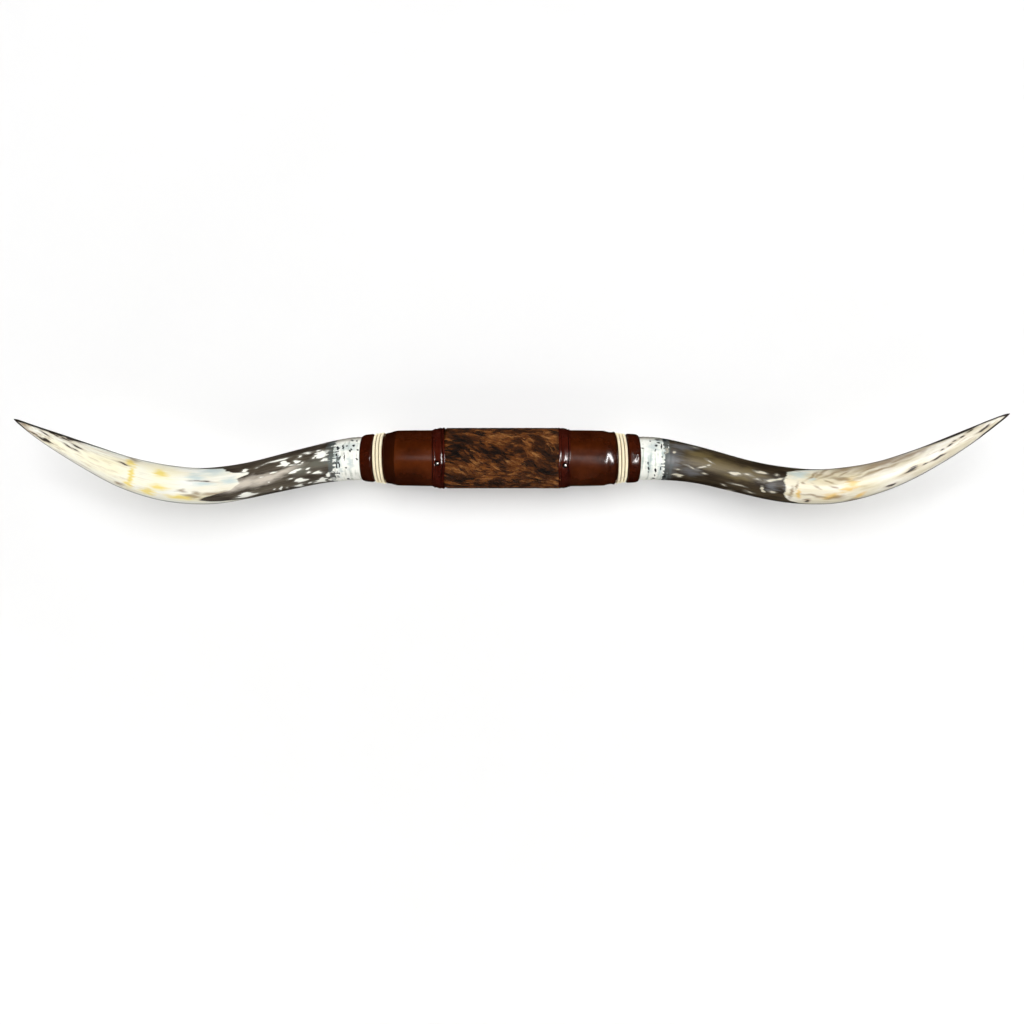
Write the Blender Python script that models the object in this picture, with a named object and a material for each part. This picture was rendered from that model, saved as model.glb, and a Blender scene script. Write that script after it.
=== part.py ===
"""Longhorn horn mount: two steer horns on a leather and cowhide centre, hung on a wall.

Units are metres and +Z is up. The wall is the plane Y = 0 and the mount stands out from it
towards -Y. The origin is on the flat back face of the back board, in the middle of the
mount and level with its long axis, which runs along X. The horns are one solid each, from
the root face inside the cuff to the tip.
"""

import math

import bmesh
import bpy
from mathutils import Matrix, Vector

MM = 0.001
FIT_GAP = 0.3 * MM

# Driving sizes of the whole mount
TIP_TO_TIP = 1727.2 * MM
LEFT_REACH = 843.0 * MM
RIGHT_REACH = TIP_TO_TIP - LEFT_REACH
HIDE_RADIUS = 54.8 * MM
BOARD_THICKNESS = 14.0 * MM
AXIS_Y = -(BOARD_THICKNESS + FIT_GAP + HIDE_RADIUS)
ROUND_SIDES = 32

# Centre panel of hair-on cowhide, between the two straps
HIDE_LEFT_END = -99.5 * MM
HIDE_RIGHT_END = 103.5 * MM
HIDE_EDGE_ROUND = 1.2 * MM

# Leather sleeve on each side of the panel, which runs under the strap. Its neck beside the rope
# has a low radius and then a lip
SLEEVE_RADIUS = 50.8 * MM
SHOULDER_START = 186.5 * MM
SHOULDER_RADIUS = 50.0 * MM
LEFT_SLEEVE_NECK = (46.2 * MM, 45.4 * MM)
RIGHT_SLEEVE_NECK = (47.2 * MM, 48.2 * MM)
SLEEVE_END = 206.0 * MM

# Nailed strap over the joint of sleeve and panel
STRAP_LEFT_WIDTH = 22.0 * MM
STRAP_RIGHT_WIDTH = 18.5 * MM
STRAP_THIN = 1.9 * MM
STRAP_LIP_WIDTH = 3.2 * MM
STRAP_GROOVE_DEPTH = 0.7 * MM
TACK_RADIUS = 5.0 * MM
TACK_HEIGHT = 2.9 * MM
TACK_LEFT_PLACE = (-109.5 * MM, 9.5 * MM)
TACK_RIGHT_PLACE = (113.5 * MM, 13.0 * MM)

# Rope seizing: turns of cord lashed round the neck of the cuff
ROPE_DIAMETER = 5.6 * MM
ROPE_PITCH = 5.95 * MM
ROPE_TURNS = 3
ROPE_MIDDLE = 216.6 * MM
ROPE_INNER_RADIUS = 43.9 * MM
ROPE_OUTER_RADIUS = 42.0 * MM
ROPE_TILT = 0.8 * MM
ROPE_END_ANGLE = math.radians(24)
ROPE_CROSSING_ANGLE = math.radians(60)
ROPE_STEPS_PER_TURN = 24

# Leather cuff under the rope and over the horn's root
CUFF_END = 248.5 * MM
CUFF_GROOVE_END = 227.6 * MM
CUFF_LEFT_SWELL = 43.6 * MM
CUFF_RIGHT_SWELL = 44.6 * MM
CUFF_ROOT_CLEARANCE = 0.5 * MM

# Horns: root inside the cuff, then stations of distance out from the middle, rise,
# forward sweep and diameter, in millimetres
HORN_SIDES = 24
HORN_STEPS_PER_SPAN = 3
HORN_FLATNESS = 0.05
HORN_TIP_RADIUS = 2.0 * MM
HORN_ROOT_MM = [
    (SLEEVE_END / MM + 0.3, 0.0, 0.0, 73.0),
    (CUFF_GROOVE_END / MM, 0.0, 0.0, 73.4),
    (249.0, -0.3, 0.2, 78.2),
]
LEFT_HORN_MM = [
    (287.0, -3.5, 3.5, 74.5),
    (329.0, -11.5, 9.0, 69.5),
    (370.0, -21.5, 15.0, 66.5),
    (411.5, -31.5, 21.0, 64.0),
    (462.5, -42.5, 28.5, 63.5),
    (523.0, -49.5, 37.5, 64.5),
    (583.0, -44.5, 45.0, 63.0),
    (643.0, -28.5, 52.0, 57.0),
    (703.0, -3.0, 57.0, 45.5),
    (763.5, 26.0, 60.5, 31.0),
    (804.5, 46.5, 61.5, 18.0),
]
LEFT_TIP_MM = (67.0, 62.0)
RIGHT_HORN_MM = [
    (285.0, -1.0, 3.5, 76.0),
    (327.0, -7.0, 8.5, 69.5),
    (369.0, -16.0, 14.0, 64.0),
    (416.0, -28.5, 20.5, 61.5),
    (469.0, -41.0, 27.5, 61.5),
    (523.0, -49.0, 35.0, 62.5),
    (573.5, -50.5, 41.5, 61.5),
    (623.5, -43.0, 47.5, 58.0),
    (674.0, -28.5, 52.5, 51.5),
    (724.0, -8.5, 56.5, 44.5),
    (774.5, 16.5, 59.5, 35.0),
    (825.5, 44.5, 61.5, 22.5),
    (862.0, 65.5, 62.0, 11.5),
]
RIGHT_TIP_MM = (76.5, 62.0)

# Back board, shaped to the panel on its front and screwed to it, with a sawtooth hanger let
# into its back
BOARD_HALF_WIDTH = 85.0 * MM
BOARD_HALF_HEIGHT = 38.0 * MM
BOARD_CHAMFER = 2.0 * MM
SADDLE_STEPS = 12
MORTISE_SIZE = (68.0 * MM, 3.4 * MM, 14.0 * MM)
MORTISE_HEIGHT = 24.0 * MM
HANGER_LENGTH = 64.0 * MM
HANGER_HEIGHT = 9.5 * MM
HANGER_THICKNESS = 1.0 * MM
HANGER_RAISE = 1.6 * MM
HANGER_TAB = 12.0 * MM
HANGER_TOOTH = 1.8 * MM
HANGER_TEETH = 7
SCREW_SPACING = 110.0 * MM
SCREW_DROP = 12.0 * MM
SCREW_HEAD_RADIUS = 4.5 * MM
SCREW_SHANK_RADIUS = 2.1 * MM
SCREW_CONE = 3.0 * MM
SCREW_LENGTH = 28.0 * MM
SCREW_SIDES = 16


def new_material(name, colour, roughness, metallic=0.0):
    material = bpy.data.materials.new(name)
    material.use_nodes = True
    shader = material.node_tree.nodes["Principled BSDF"]
    shader.inputs["Base Color"].default_value = (*colour, 1.0)
    shader.inputs["Roughness"].default_value = roughness
    shader.inputs["Metallic"].default_value = metallic
    material.diffuse_color = (*colour, 1.0)
    return material


def new_object(name, mesh, material, smooth_angle=35.0):
    """Links the mesh as an object, smooth except at edges sharper than the angle."""
    mesh.materials.append(material)
    mesh.shade_smooth()
    mesh.set_sharp_from_angle(angle=math.radians(smooth_angle))
    obj = bpy.data.objects.new(name, mesh)
    bpy.context.scene.collection.objects.link(obj)
    return obj


def mesh_from(name, form):
    bmesh.ops.recalc_face_normals(form, faces=form.faces)
    mesh = bpy.data.meshes.new(name)
    form.to_mesh(mesh)
    form.free()
    return mesh


def turned_mesh(name, profile, sides, closed=False):
    """A profile of (distance along X, radius) spun round the X axis.

    An open profile starts and ends on the axis and makes a solid bar; a closed one makes a ring.
    """
    form = bmesh.new()
    points = [form.verts.new((x, 0.0, radius)) for x, radius in profile]
    edges = [form.edges.new(pair) for pair in zip(points, points[1:])]
    if closed:
        edges.append(form.edges.new((points[-1], points[0])))
    bmesh.ops.spin(
        form,
        geom=points + edges,
        cent=(0.0, 0.0, 0.0),
        axis=(1.0, 0.0, 0.0),
        angle=2 * math.pi,
        steps=sides,
        use_merge=True,
    )
    bmesh.ops.remove_doubles(form, verts=form.verts, dist=1e-6)
    return mesh_from(name, form)


def polygon_radius(clear_of):
    """The corner radius of a many-sided hole whose flats stay clear of a bar this round."""
    return clear_of / math.cos(math.pi / ROUND_SIDES)


def on_axis(obj, side=1):
    """Places a turned piece on the mount's axis; side -1 faces it the other way."""
    obj.location = (0.0, AXIS_Y, 0.0)
    if side < 0:
        obj.rotation_euler = (0.0, 0.0, math.pi)
    return obj


def make_hide_panel(material):
    radius, edge = HIDE_RADIUS, HIDE_EDGE_ROUND
    start, end = HIDE_LEFT_END + FIT_GAP, HIDE_RIGHT_END - FIT_GAP
    profile = [
        (start, 0.0),
        (start, radius - edge),
        (start + edge, radius),
        (end - edge, radius),
        (end, radius - edge),
        (end, 0.0),
    ]
    return on_axis(new_object("hide_panel", turned_mesh("hide_panel", profile, ROUND_SIDES), material))


def make_sleeve(name, side, panel_end, neck, material):
    """Leather sleeve from the panel's end to the rope, with a sloping shoulder and a thin lip."""
    low, lip = neck
    profile = [
        (panel_end, 0.0),
        (panel_end, SLEEVE_RADIUS),
        (panel_end + 30.0 * MM, SLEEVE_RADIUS),
        (SHOULDER_START, SHOULDER_RADIUS),
        (SHOULDER_START + 4.0 * MM, SHOULDER_RADIUS - 0.7 * MM),
        (SLEEVE_END - 4.0 * MM, low),
        (SLEEVE_END - 1.0 * MM, lip),
        (SLEEVE_END, lip - 0.6 * MM),
        (SLEEVE_END, 0.0),
    ]
    return on_axis(new_object(name, turned_mesh(name, profile, ROUND_SIDES), material), side)


def make_strap(name, side, panel_end, width, material):
    """Leather strap round the joint: thin at its outer edge, up to the hair's height at the panel,
    with a creased lip along the panel."""
    inside = polygon_radius(SLEEVE_RADIUS + FIT_GAP)
    outer, high = panel_end + width, HIDE_RADIUS - 0.2 * MM
    low = SLEEVE_RADIUS + STRAP_THIN
    crease = panel_end + STRAP_LIP_WIDTH
    body = (low + high) / 2 + 0.2 * MM
    profile = [
        (panel_end, inside),
        (panel_end, high - 0.6 * MM),
        (panel_end + 0.8 * MM, high),
        (crease - 0.8 * MM, high - 0.1 * MM),
        (crease, high - STRAP_GROOVE_DEPTH),
        (crease + 1.0 * MM, high - 0.3 * MM),
        ((crease + outer) / 2, body + 0.3 * MM),
        (outer - 2.0 * MM, low + 0.1 * MM),
        (outer - 0.3 * MM, low - 0.6 * MM),
        (outer, inside),
    ]
    return on_axis(new_object(name, turned_mesh(name, profile, ROUND_SIDES, closed=True), material), side)


def make_tack(name, place, material):
    """Domed upholstery tack on the front of a strap, square to the strap's surface."""
    x, drop = place
    seat = (SLEEVE_RADIUS + STRAP_THIN + HIDE_RADIUS) / 2 + 0.4 * MM + FIT_GAP
    dome_steps = 5
    profile = [(0.0, 0.0), (0.0, TACK_RADIUS)]
    for step in range(1, dome_steps):
        angle = math.pi / 2 * step / dome_steps
        profile.append((TACK_HEIGHT * math.sin(angle), TACK_RADIUS * math.cos(angle)))
    profile.append((TACK_HEIGHT, 0.0))
    obj = new_object(name, turned_mesh(name, profile, SCREW_SIDES), material, 60.0)
    below = math.asin(drop / seat)
    outward = Vector((0.0, -math.cos(below), -math.sin(below)))
    obj.rotation_mode = "QUATERNION"
    obj.rotation_quaternion = outward.to_track_quat("X", "Z")
    obj.location = Vector((x, AXIS_Y, 0.0)) + outward * seat
    return obj


def rope_centre(share, side):
    """A point on the cord's centre line, share 0 to 1 of the way along its turns.

    Each turn runs level round the neck and crosses to the next at the back.
    """
    sweep = 2 * math.pi * ROPE_TURNS - 2 * ROPE_END_ANGLE
    wound = ROPE_END_ANGLE + sweep * share
    turn, rest = divmod(wound + math.pi, 2 * math.pi)
    crossing = (rest - math.pi) / ROPE_CROSSING_ANGLE + 0.5
    eased = min(max(crossing, 0.0), 1.0)
    level = turn - 1 + eased * eased * (3 - 2 * eased)
    level = min(max(level, 0.0), ROPE_TURNS - 1.0)
    middle = (ROPE_TURNS - 1) / 2
    out = ROPE_MIDDLE + (level - middle) * ROPE_PITCH
    narrowing = (ROPE_INNER_RADIUS - ROPE_OUTER_RADIUS) * level / (ROPE_TURNS - 1)
    radius = ROPE_INNER_RADIUS - narrowing
    around = wound * side
    x = side * out - ROPE_TILT * math.sin(around)
    return Vector((x, AXIS_Y + radius * math.cos(around), radius * math.sin(around)))


def make_rope(name, side, material):
    """Three turns of cord as one bent bar, its two ends side by side at the back."""
    count = ROPE_TURNS * ROPE_STEPS_PER_TURN
    curve = bpy.data.curves.new(name, "CURVE")
    curve.dimensions = "3D"
    curve.bevel_depth = ROPE_DIAMETER / 2
    curve.bevel_resolution = 2
    curve.use_fill_caps = True
    curve.materials.append(material)
    spline = curve.splines.new("POLY")
    spline.points.add(count)
    for index, point in enumerate(spline.points):
        point.co = (*rope_centre(index / count, side), 1.0)
    obj = bpy.data.objects.new(name, curve)
    bpy.context.scene.collection.objects.link(obj)
    return obj


def neck_radius(out):
    """The cuff's radius under the cord, which lies on it all the way along."""
    middle = (ROPE_INNER_RADIUS + ROPE_OUTER_RADIUS) / 2
    slope = (ROPE_OUTER_RADIUS - ROPE_INNER_RADIUS) / ((ROPE_TURNS - 1) * ROPE_PITCH)
    cord = middle + slope * (out - ROPE_MIDDLE)
    tilt = abs(slope) * ROPE_TILT
    return cord * math.cos(math.pi / ROPE_STEPS_PER_TURN) - ROPE_DIAMETER / 2 - FIT_GAP - tilt


def make_cuff(name, side, swell, material):
    """Leather cuff: a neck that the rope grips, a swell beyond it and a rolled outer edge."""
    root = [(out * MM, dia * MM / 2 + CUFF_ROOT_CLEARANCE) for out, _, _, dia in HORN_ROOT_MM]
    inner = [(out, polygon_radius(radius)) for out, radius in root]
    inner[-1] = (CUFF_END, inner[-1][1])
    outer = [
        (CUFF_END + 0.2 * MM, inner[-1][1] + 1.0 * MM),
        (CUFF_END - 0.6 * MM, swell - 1.9 * MM),
        (CUFF_END - 3.2 * MM, swell - 1.1 * MM),
        (CUFF_END - 7.5 * MM, swell - 0.9 * MM),
        (CUFF_GROOVE_END + 4.0 * MM, swell),
        (CUFF_GROOVE_END + 0.8 * MM, swell - 1.2 * MM),
        (CUFF_GROOVE_END, neck_radius(CUFF_GROOVE_END)),
        (SLEEVE_END + FIT_GAP, neck_radius(SLEEVE_END)),
    ]
    profile = inner + outer
    return on_axis(new_object(name, turned_mesh(name, profile, ROUND_SIDES, closed=True), material), side)


def smooth_stations(stations, steps):
    """Points on a smooth curve through the stations, with `steps` pieces in each span."""
    points = [Vector(station) for station in stations]
    spans = [(b - a).length for a, b in zip(points, points[1:])]
    slopes = [(b - a) / span for a, b, span in zip(points, points[1:], spans)]
    tangents = [slopes[0]]
    for before, after, left, right in zip(slopes, slopes[1:], spans, spans[1:]):
        tangents.append((before * right + after * left) / (left + right))
    tangents.append(slopes[-1])
    curve = []
    for index, span in enumerate(spans):
        for step in range(steps):
            t = step / steps
            curve.append(
                points[index] * (2 * t**3 - 3 * t**2 + 1)
                + tangents[index] * span * (t**3 - 2 * t**2 + t)
                + points[index + 1] * (3 * t**2 - 2 * t**3)
                + tangents[index + 1] * span * (t**3 - t**2)
            )
    curve.append(points[-1])
    return curve


def horn_rings(side, stations, tip, reach):
    """Centre, two half axes and radius of each ring from root to tip, in metres."""
    rise, forward = tip
    end = (reach / MM - HORN_TIP_RADIUS / MM, rise, forward, 2 * HORN_TIP_RADIUS / MM)
    rings = []
    path = smooth_stations(HORN_ROOT_MM + stations + [end], HORN_STEPS_PER_SPAN)
    centres = [Vector((side * out * MM, AXIS_Y - fwd * MM, up * MM)) for out, up, fwd, _ in path]
    for index, centre in enumerate(centres):
        before, after = centres[max(index - 1, 0)], centres[min(index + 1, len(centres) - 1)]
        along = (after - before).normalized() if index else Vector((side, 0.0, 0.0))
        depth = (Vector((0.0, 1.0, 0.0)) - along * along.y).normalized()
        up = along.cross(depth) * side
        flat = HORN_FLATNESS * min(max((path[index][0] - CUFF_END / MM) / 60.0, 0.0), 1.0)
        radius = path[index][3] * MM / 2
        rings.append((centre, depth * radius * (1 - flat), up * radius, along))
    return rings


def make_horn(name, side, stations, tip, reach, material):
    form = bmesh.new()
    loops = []
    rings = horn_rings(side, stations, tip, reach)
    for centre, depth, up, _ in rings:
        loop = []
        for index in range(HORN_SIDES):
            angle = 2 * math.pi * index / HORN_SIDES
            loop.append(form.verts.new(centre + up * math.cos(angle) + depth * math.sin(angle)))
        loops.append(loop)
    for near, far in zip(loops, loops[1:]):
        for index in range(HORN_SIDES):
            after = (index + 1) % HORN_SIDES
            form.faces.new((near[index], near[after], far[after], far[index]))
    form.faces.new(loops[0])
    centre, _, _, along = rings[-1]
    point = form.verts.new(centre + along * HORN_TIP_RADIUS)
    for index in range(HORN_SIDES):
        form.faces.new((loops[-1][index], loops[-1][(index + 1) % HORN_SIDES], point))
    return new_object(name, mesh_from(name, form), material)


def box_cutter(name, size, centre):
    """A hidden box that cuts a pocket."""
    form = bmesh.new()
    bmesh.ops.create_cube(form, size=1.0)
    bmesh.ops.scale(form, vec=size, verts=form.verts)
    bmesh.ops.translate(form, vec=centre, verts=form.verts)
    return hidden_cutter(name, mesh_from(name, form))


def hidden_cutter(name, mesh):
    obj = bpy.data.objects.new(name, mesh)
    obj.hide_render = True
    obj.display_type = "WIRE"
    bpy.context.scene.collection.objects.link(obj)
    return obj


def screw_profile(clearance):
    """A countersunk screw from its flat head inwards, as (depth, radius)."""
    head, shank = SCREW_HEAD_RADIUS + clearance, SCREW_SHANK_RADIUS + clearance
    start, end = -2 * clearance, SCREW_LENGTH + clearance
    return [
        (start, 0.0),
        (start, head),
        (0.6 * MM + clearance, head),
        (SCREW_CONE + clearance, shank),
        (end, shank),
        (end, 0.0),
    ]


def screw_matrix(side):
    """Stands a screw in the board's back, pointing towards the front, its head just under the face."""
    place = Matrix.Translation((side * SCREW_SPACING / 2, -FIT_GAP, -SCREW_DROP))
    return place @ Matrix.Rotation(-math.pi / 2, 4, "Z")


def make_board(material):
    """Board with a flat back and a hollowed front that seats on the panel."""
    saddle = HIDE_RADIUS + FIT_GAP
    tall, corner = BOARD_HALF_HEIGHT, BOARD_CHAMFER
    outline = [(0.0, -tall + corner), (0.0, tall - corner), (-corner, tall)]
    half_angle = math.asin(tall / saddle)
    for step in range(SADDLE_STEPS + 1):
        angle = half_angle * (1 - 2 * step / SADDLE_STEPS)
        reach = saddle / math.cos(half_angle / SADDLE_STEPS)
        outline.append((AXIS_Y + reach * math.cos(angle), min(max(reach * math.sin(angle), -tall), tall)))
    outline.append((-corner, -tall))
    form = bmesh.new()
    corners = [form.verts.new((-BOARD_HALF_WIDTH, y, z)) for y, z in outline]
    face = form.faces.new(corners)
    grown = bmesh.ops.extrude_face_region(form, geom=[face])
    moved = [item for item in grown["geom"] if isinstance(item, bmesh.types.BMVert)]
    bmesh.ops.translate(form, vec=(2 * BOARD_HALF_WIDTH, 0.0, 0.0), verts=moved)
    return new_object("back_board", mesh_from("back_board", form), material)


def cut_with(obj, cutters):
    for cutter in cutters:
        cut = obj.modifiers.new(cutter.name, "BOOLEAN")
        cut.operation = "DIFFERENCE"
        cut.object = cutter


def make_screw_cutters():
    """The screws' holes, through the board and into the panel's core."""
    cutters = []
    for side, name in ((-1, "left"), (1, "right")):
        mesh = turned_mesh(f"screw_cutter_{name}", screw_profile(FIT_GAP), SCREW_SIDES)
        mesh.transform(screw_matrix(side))
        cutters.append(hidden_cutter(f"screw_cutter_{name}", mesh))
    return cutters


def mortise_box():
    """Size and centre of the hanger's pocket, run out past the board's back face."""
    length, depth, height = MORTISE_SIZE
    return (length, 2 * depth, height), (0.0, 0.0, MORTISE_HEIGHT)


def make_screw(name, side, material):
    mesh = turned_mesh(name, screw_profile(0.0), SCREW_SIDES)
    mesh.transform(screw_matrix(side))
    return new_object(name, mesh, material)


def hanger_columns():
    """Each column of the strip as (x, raise, tooth length): flat tabs, a joggle and a toothed middle."""
    half, tab = HANGER_LENGTH / 2, HANGER_LENGTH / 2 - HANGER_TAB
    inner = tab - 2.5 * MM
    columns = [(-half, 0.0, 0.0), (-tab, 0.0, 0.0), (-inner, HANGER_RAISE, 0.0)]
    pitch = 2 * inner / HANGER_TEETH
    for tooth in range(HANGER_TEETH):
        start = -inner + tooth * pitch
        columns.append((start + pitch * 0.5, HANGER_RAISE, HANGER_TOOTH))
        columns.append((start + pitch, HANGER_RAISE, 0.0))
    columns += [(tab, 0.0, 0.0), (half, 0.0, 0.0)]
    return columns


def make_hanger(material):
    """Pressed steel strip with a raised, toothed lower edge that hooks on a nail."""
    floor = -MORTISE_SIZE[1] + FIT_GAP
    top = MORTISE_HEIGHT + HANGER_HEIGHT / 2
    bottom = top - HANGER_HEIGHT
    form = bmesh.new()
    rings = []
    for x, rise, tooth in hanger_columns():
        front, back = floor + rise, floor + rise + HANGER_THICKNESS
        low = bottom + tooth
        corners = ((front, low), (back, low), (back, top), (front, top))
        rings.append([form.verts.new((x, y, z)) for y, z in corners])
    for near, far in zip(rings, rings[1:]):
        for index in range(4):
            after = (index + 1) % 4
            form.faces.new((near[index], near[after], far[after], far[index]))
    form.faces.new(rings[0])
    form.faces.new(rings[-1])
    return new_object("hanger", mesh_from("hanger", form), material, 20.0)


def main():
    for obj in list(bpy.data.objects):
        bpy.data.objects.remove(obj, do_unlink=True)

    left_horn = new_material("left horn keratin", (0.62, 0.55, 0.40), 0.22)
    right_horn = new_material("right horn keratin", (0.50, 0.44, 0.33), 0.22)
    leather = new_material("oxblood leather", (0.085, 0.018, 0.008), 0.28)
    hide = new_material("brindle cowhide", (0.115, 0.045, 0.018), 0.60)
    cord = new_material("cotton cord", (0.78, 0.68, 0.46), 0.85)
    nail = new_material("bronzed steel tack", (0.045, 0.025, 0.02), 0.22, 1.0)
    wood = new_material("stained pine", (0.13, 0.065, 0.03), 0.55)
    steel = new_material("zinc plated steel", (0.62, 0.60, 0.55), 0.35, 1.0)

    panel = make_hide_panel(hide)
    make_sleeve("sleeve_left", -1, -HIDE_LEFT_END, LEFT_SLEEVE_NECK, leather)
    make_sleeve("sleeve_right", 1, HIDE_RIGHT_END, RIGHT_SLEEVE_NECK, leather)
    make_strap("strap_left", -1, -HIDE_LEFT_END, STRAP_LEFT_WIDTH, leather)
    make_strap("strap_right", 1, HIDE_RIGHT_END, STRAP_RIGHT_WIDTH, leather)
    make_tack("tack_left", TACK_LEFT_PLACE, nail)
    make_tack("tack_right", TACK_RIGHT_PLACE, nail)
    make_cuff("cuff_left", -1, CUFF_LEFT_SWELL, leather)
    make_cuff("cuff_right", 1, CUFF_RIGHT_SWELL, leather)
    make_rope("rope_left", -1, cord)
    make_rope("rope_right", 1, cord)
    make_horn("horn_left", -1, LEFT_HORN_MM, LEFT_TIP_MM, LEFT_REACH, left_horn)
    make_horn("horn_right", 1, RIGHT_HORN_MM, RIGHT_TIP_MM, RIGHT_REACH, right_horn)
    board = make_board(wood)
    screw_cutters = make_screw_cutters()
    cut_with(board, [box_cutter("mortise_cutter", *mortise_box()), *screw_cutters])
    cut_with(panel, screw_cutters)
    make_hanger(steel)
    make_screw("screw_left", -1, steel)
    make_screw("screw_right", 1, steel)


main()
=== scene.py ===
import math

import bpy
import numpy as np
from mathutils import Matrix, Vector, kdtree, noise


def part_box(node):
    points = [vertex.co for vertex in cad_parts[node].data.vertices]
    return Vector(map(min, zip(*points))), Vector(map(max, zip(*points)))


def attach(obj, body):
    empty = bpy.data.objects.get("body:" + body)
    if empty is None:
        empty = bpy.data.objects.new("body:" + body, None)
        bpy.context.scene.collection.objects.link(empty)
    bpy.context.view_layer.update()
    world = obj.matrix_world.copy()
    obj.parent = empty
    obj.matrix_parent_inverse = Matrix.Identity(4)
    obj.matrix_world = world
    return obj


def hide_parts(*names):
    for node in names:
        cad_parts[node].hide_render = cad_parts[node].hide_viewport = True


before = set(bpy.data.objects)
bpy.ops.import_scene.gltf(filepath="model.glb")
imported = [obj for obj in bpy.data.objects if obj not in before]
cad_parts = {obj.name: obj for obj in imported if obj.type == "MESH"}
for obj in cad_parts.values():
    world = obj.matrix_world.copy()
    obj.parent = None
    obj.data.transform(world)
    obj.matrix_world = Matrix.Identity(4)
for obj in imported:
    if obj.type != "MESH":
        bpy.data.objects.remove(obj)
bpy.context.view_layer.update()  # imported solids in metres: the wall is y = 0 and the front faces -y
mm = 0.001
sideOf = {"left": -1, "right": 1}  # as seen from the front
rng = np.random.default_rng(68)


def say(stage):
    print("[horn mount]", stage)


# The mount's long axis runs along x through the middle of the turned leather pieces
sleeveLow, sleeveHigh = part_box("sleeve_right")
axisY = (sleeveLow.y + sleeveHigh.y) / 2
hideLow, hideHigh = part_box("hide_panel")
hideRadius = (hideHigh.z - hideLow.z) / 2


# Small tools for objects
def selectOnly(obj):
    bpy.ops.object.select_all(action="DESELECT")
    obj.select_set(True)
    bpy.context.view_layer.objects.active = obj


def addObject(name, data):
    obj = bpy.data.objects.new(name, data)
    bpy.context.scene.collection.objects.link(obj)
    return obj


def settle(obj):  # puts the object's place, turn and size into its mesh
    selectOnly(obj)
    bpy.ops.object.transform_apply(location=True, rotation=True, scale=True)


def applyModifier(obj, kind, **settings):
    selectOnly(obj)
    modifier = obj.modifiers.new(kind.lower(), kind)
    for key, value in settings.items():
        setattr(modifier, key, value)
    bpy.ops.object.modifier_apply(modifier=modifier.name)


def roundOff(obj, levels):  # subdivides the finished cage and shades it smooth
    applyModifier(obj, "SUBSURF", levels=levels, render_levels=levels)
    selectOnly(obj)
    bpy.ops.object.shade_smooth()


def startRing(name, sides, radius, place, turn, fill="NOTHING"):  # a ring of points, ready to draw out
    bpy.ops.object.select_all(action="DESELECT")
    bpy.ops.mesh.primitive_circle_add(
        vertices=sides, radius=radius, location=place, rotation=turn, fill_type=fill
    )
    obj = bpy.context.object
    obj.name = obj.data.name = name
    bpy.ops.object.mode_set(mode="EDIT")
    bpy.ops.mesh.select_all(action="SELECT")
    return obj


def drawTo(step, grow, **settings):  # draws the selected ring on by a step and scales it
    bpy.ops.mesh.extrude_region_move(TRANSFORM_OT_translate={"value": step})
    bpy.ops.transform.resize(value=grow, **settings)


def closeRings(obj, levels):  # turns the faces outwards and rounds the drawn cage off
    bpy.ops.mesh.select_all(action="SELECT")
    bpy.ops.mesh.normals_make_consistent(inside=False)
    bpy.ops.object.mode_set(mode="OBJECT")
    settle(obj)
    roundOff(obj, levels)


def readPoints(obj):
    points = np.empty(len(obj.data.vertices) * 3)
    obj.data.vertices.foreach_get("co", points)
    return points.reshape(-1, 3)


def writePoints(obj, points):
    obj.data.vertices.foreach_set("co", points.ravel())
    obj.data.update()


def addField(obj, name, values):  # one number or one vector for each point of the mesh
    kind = "FLOAT" if values.ndim == 1 else "FLOAT_VECTOR"
    field = obj.data.attributes.new(name, kind, "POINT")
    field.data.foreach_set("value" if values.ndim == 1 else "vector", values.ravel())


def roundCoordinates(points):  # around the axis: angle up from the front, and radius
    forward, up = axisY - points[:, 1], points[:, 2]
    return np.arctan2(up, forward), np.hypot(forward, up)


def fromRound(x, angle, radius):
    return np.stack([x, axisY - radius * np.cos(angle), radius * np.sin(angle)], axis=1)


def buildTree(points):  # finds the nearest of many points
    tree = kdtree.KDTree(len(points))
    for number, point in enumerate(points.tolist()):
        tree.insert(point, number)
    tree.balance()
    return tree


def smallNoise(points, scale, seed):
    shift = Vector((seed * 7.3, seed * 3.1, seed * 1.7))
    return np.array([noise.noise(Vector(point) * scale + shift) for point in points.tolist()])


def leaning(right, up, lean):  # a step across and up, measured along a line that leans and beside it
    return right * math.cos(lean) + up * math.sin(lean), up * math.cos(lean) - right * math.sin(lean)


def hill(distance, width):
    return np.exp(-(distance / width) ** 2)


# Small tools for materials
def toLinear(hexColour):
    parts = [int(hexColour[i:i + 2], 16) / 255 for i in (1, 3, 5)]
    return [p / 12.92 if p <= 0.04045 else ((p + 0.055) / 1.055) ** 2.4 for p in parts] + [1.0]


def startMaterial(name):
    material = bpy.data.materials.new(name)
    material.use_nodes = True
    return material, material.node_tree.nodes["Principled BSDF"]


def pick(sockets, key):
    if isinstance(key, int):
        return sockets[key]
    return next(socket for socket in sockets if socket.name == key and socket.enabled)


def plug(material, node, inputs):
    for key, value in inputs.items():
        if isinstance(value, bpy.types.Node):
            value = next(socket for socket in value.outputs if socket.enabled)
        if isinstance(value, bpy.types.NodeSocket):
            material.node_tree.links.new(value, pick(node.inputs, key))
        else:
            pick(node.inputs, key).default_value = toLinear(value) if isinstance(value, str) else value


def addNode(material, kind, inputs=None, stops=None, **settings):
    node = material.node_tree.nodes.new("ShaderNode" + kind)
    for key, value in settings.items():
        setattr(node, key, value)
    plug(material, node, inputs or {})
    if stops:
        ramp = node.color_ramp
        while len(ramp.elements) < len(stops):
            ramp.elements.new(0.5)
        for element, (place, colour) in zip(ramp.elements, stops):
            element.position = place
            element.color = toLinear(colour)
    return node


def setMaterial(obj, material):
    obj.data.materials.clear()
    obj.data.materials.append(material)


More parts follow.
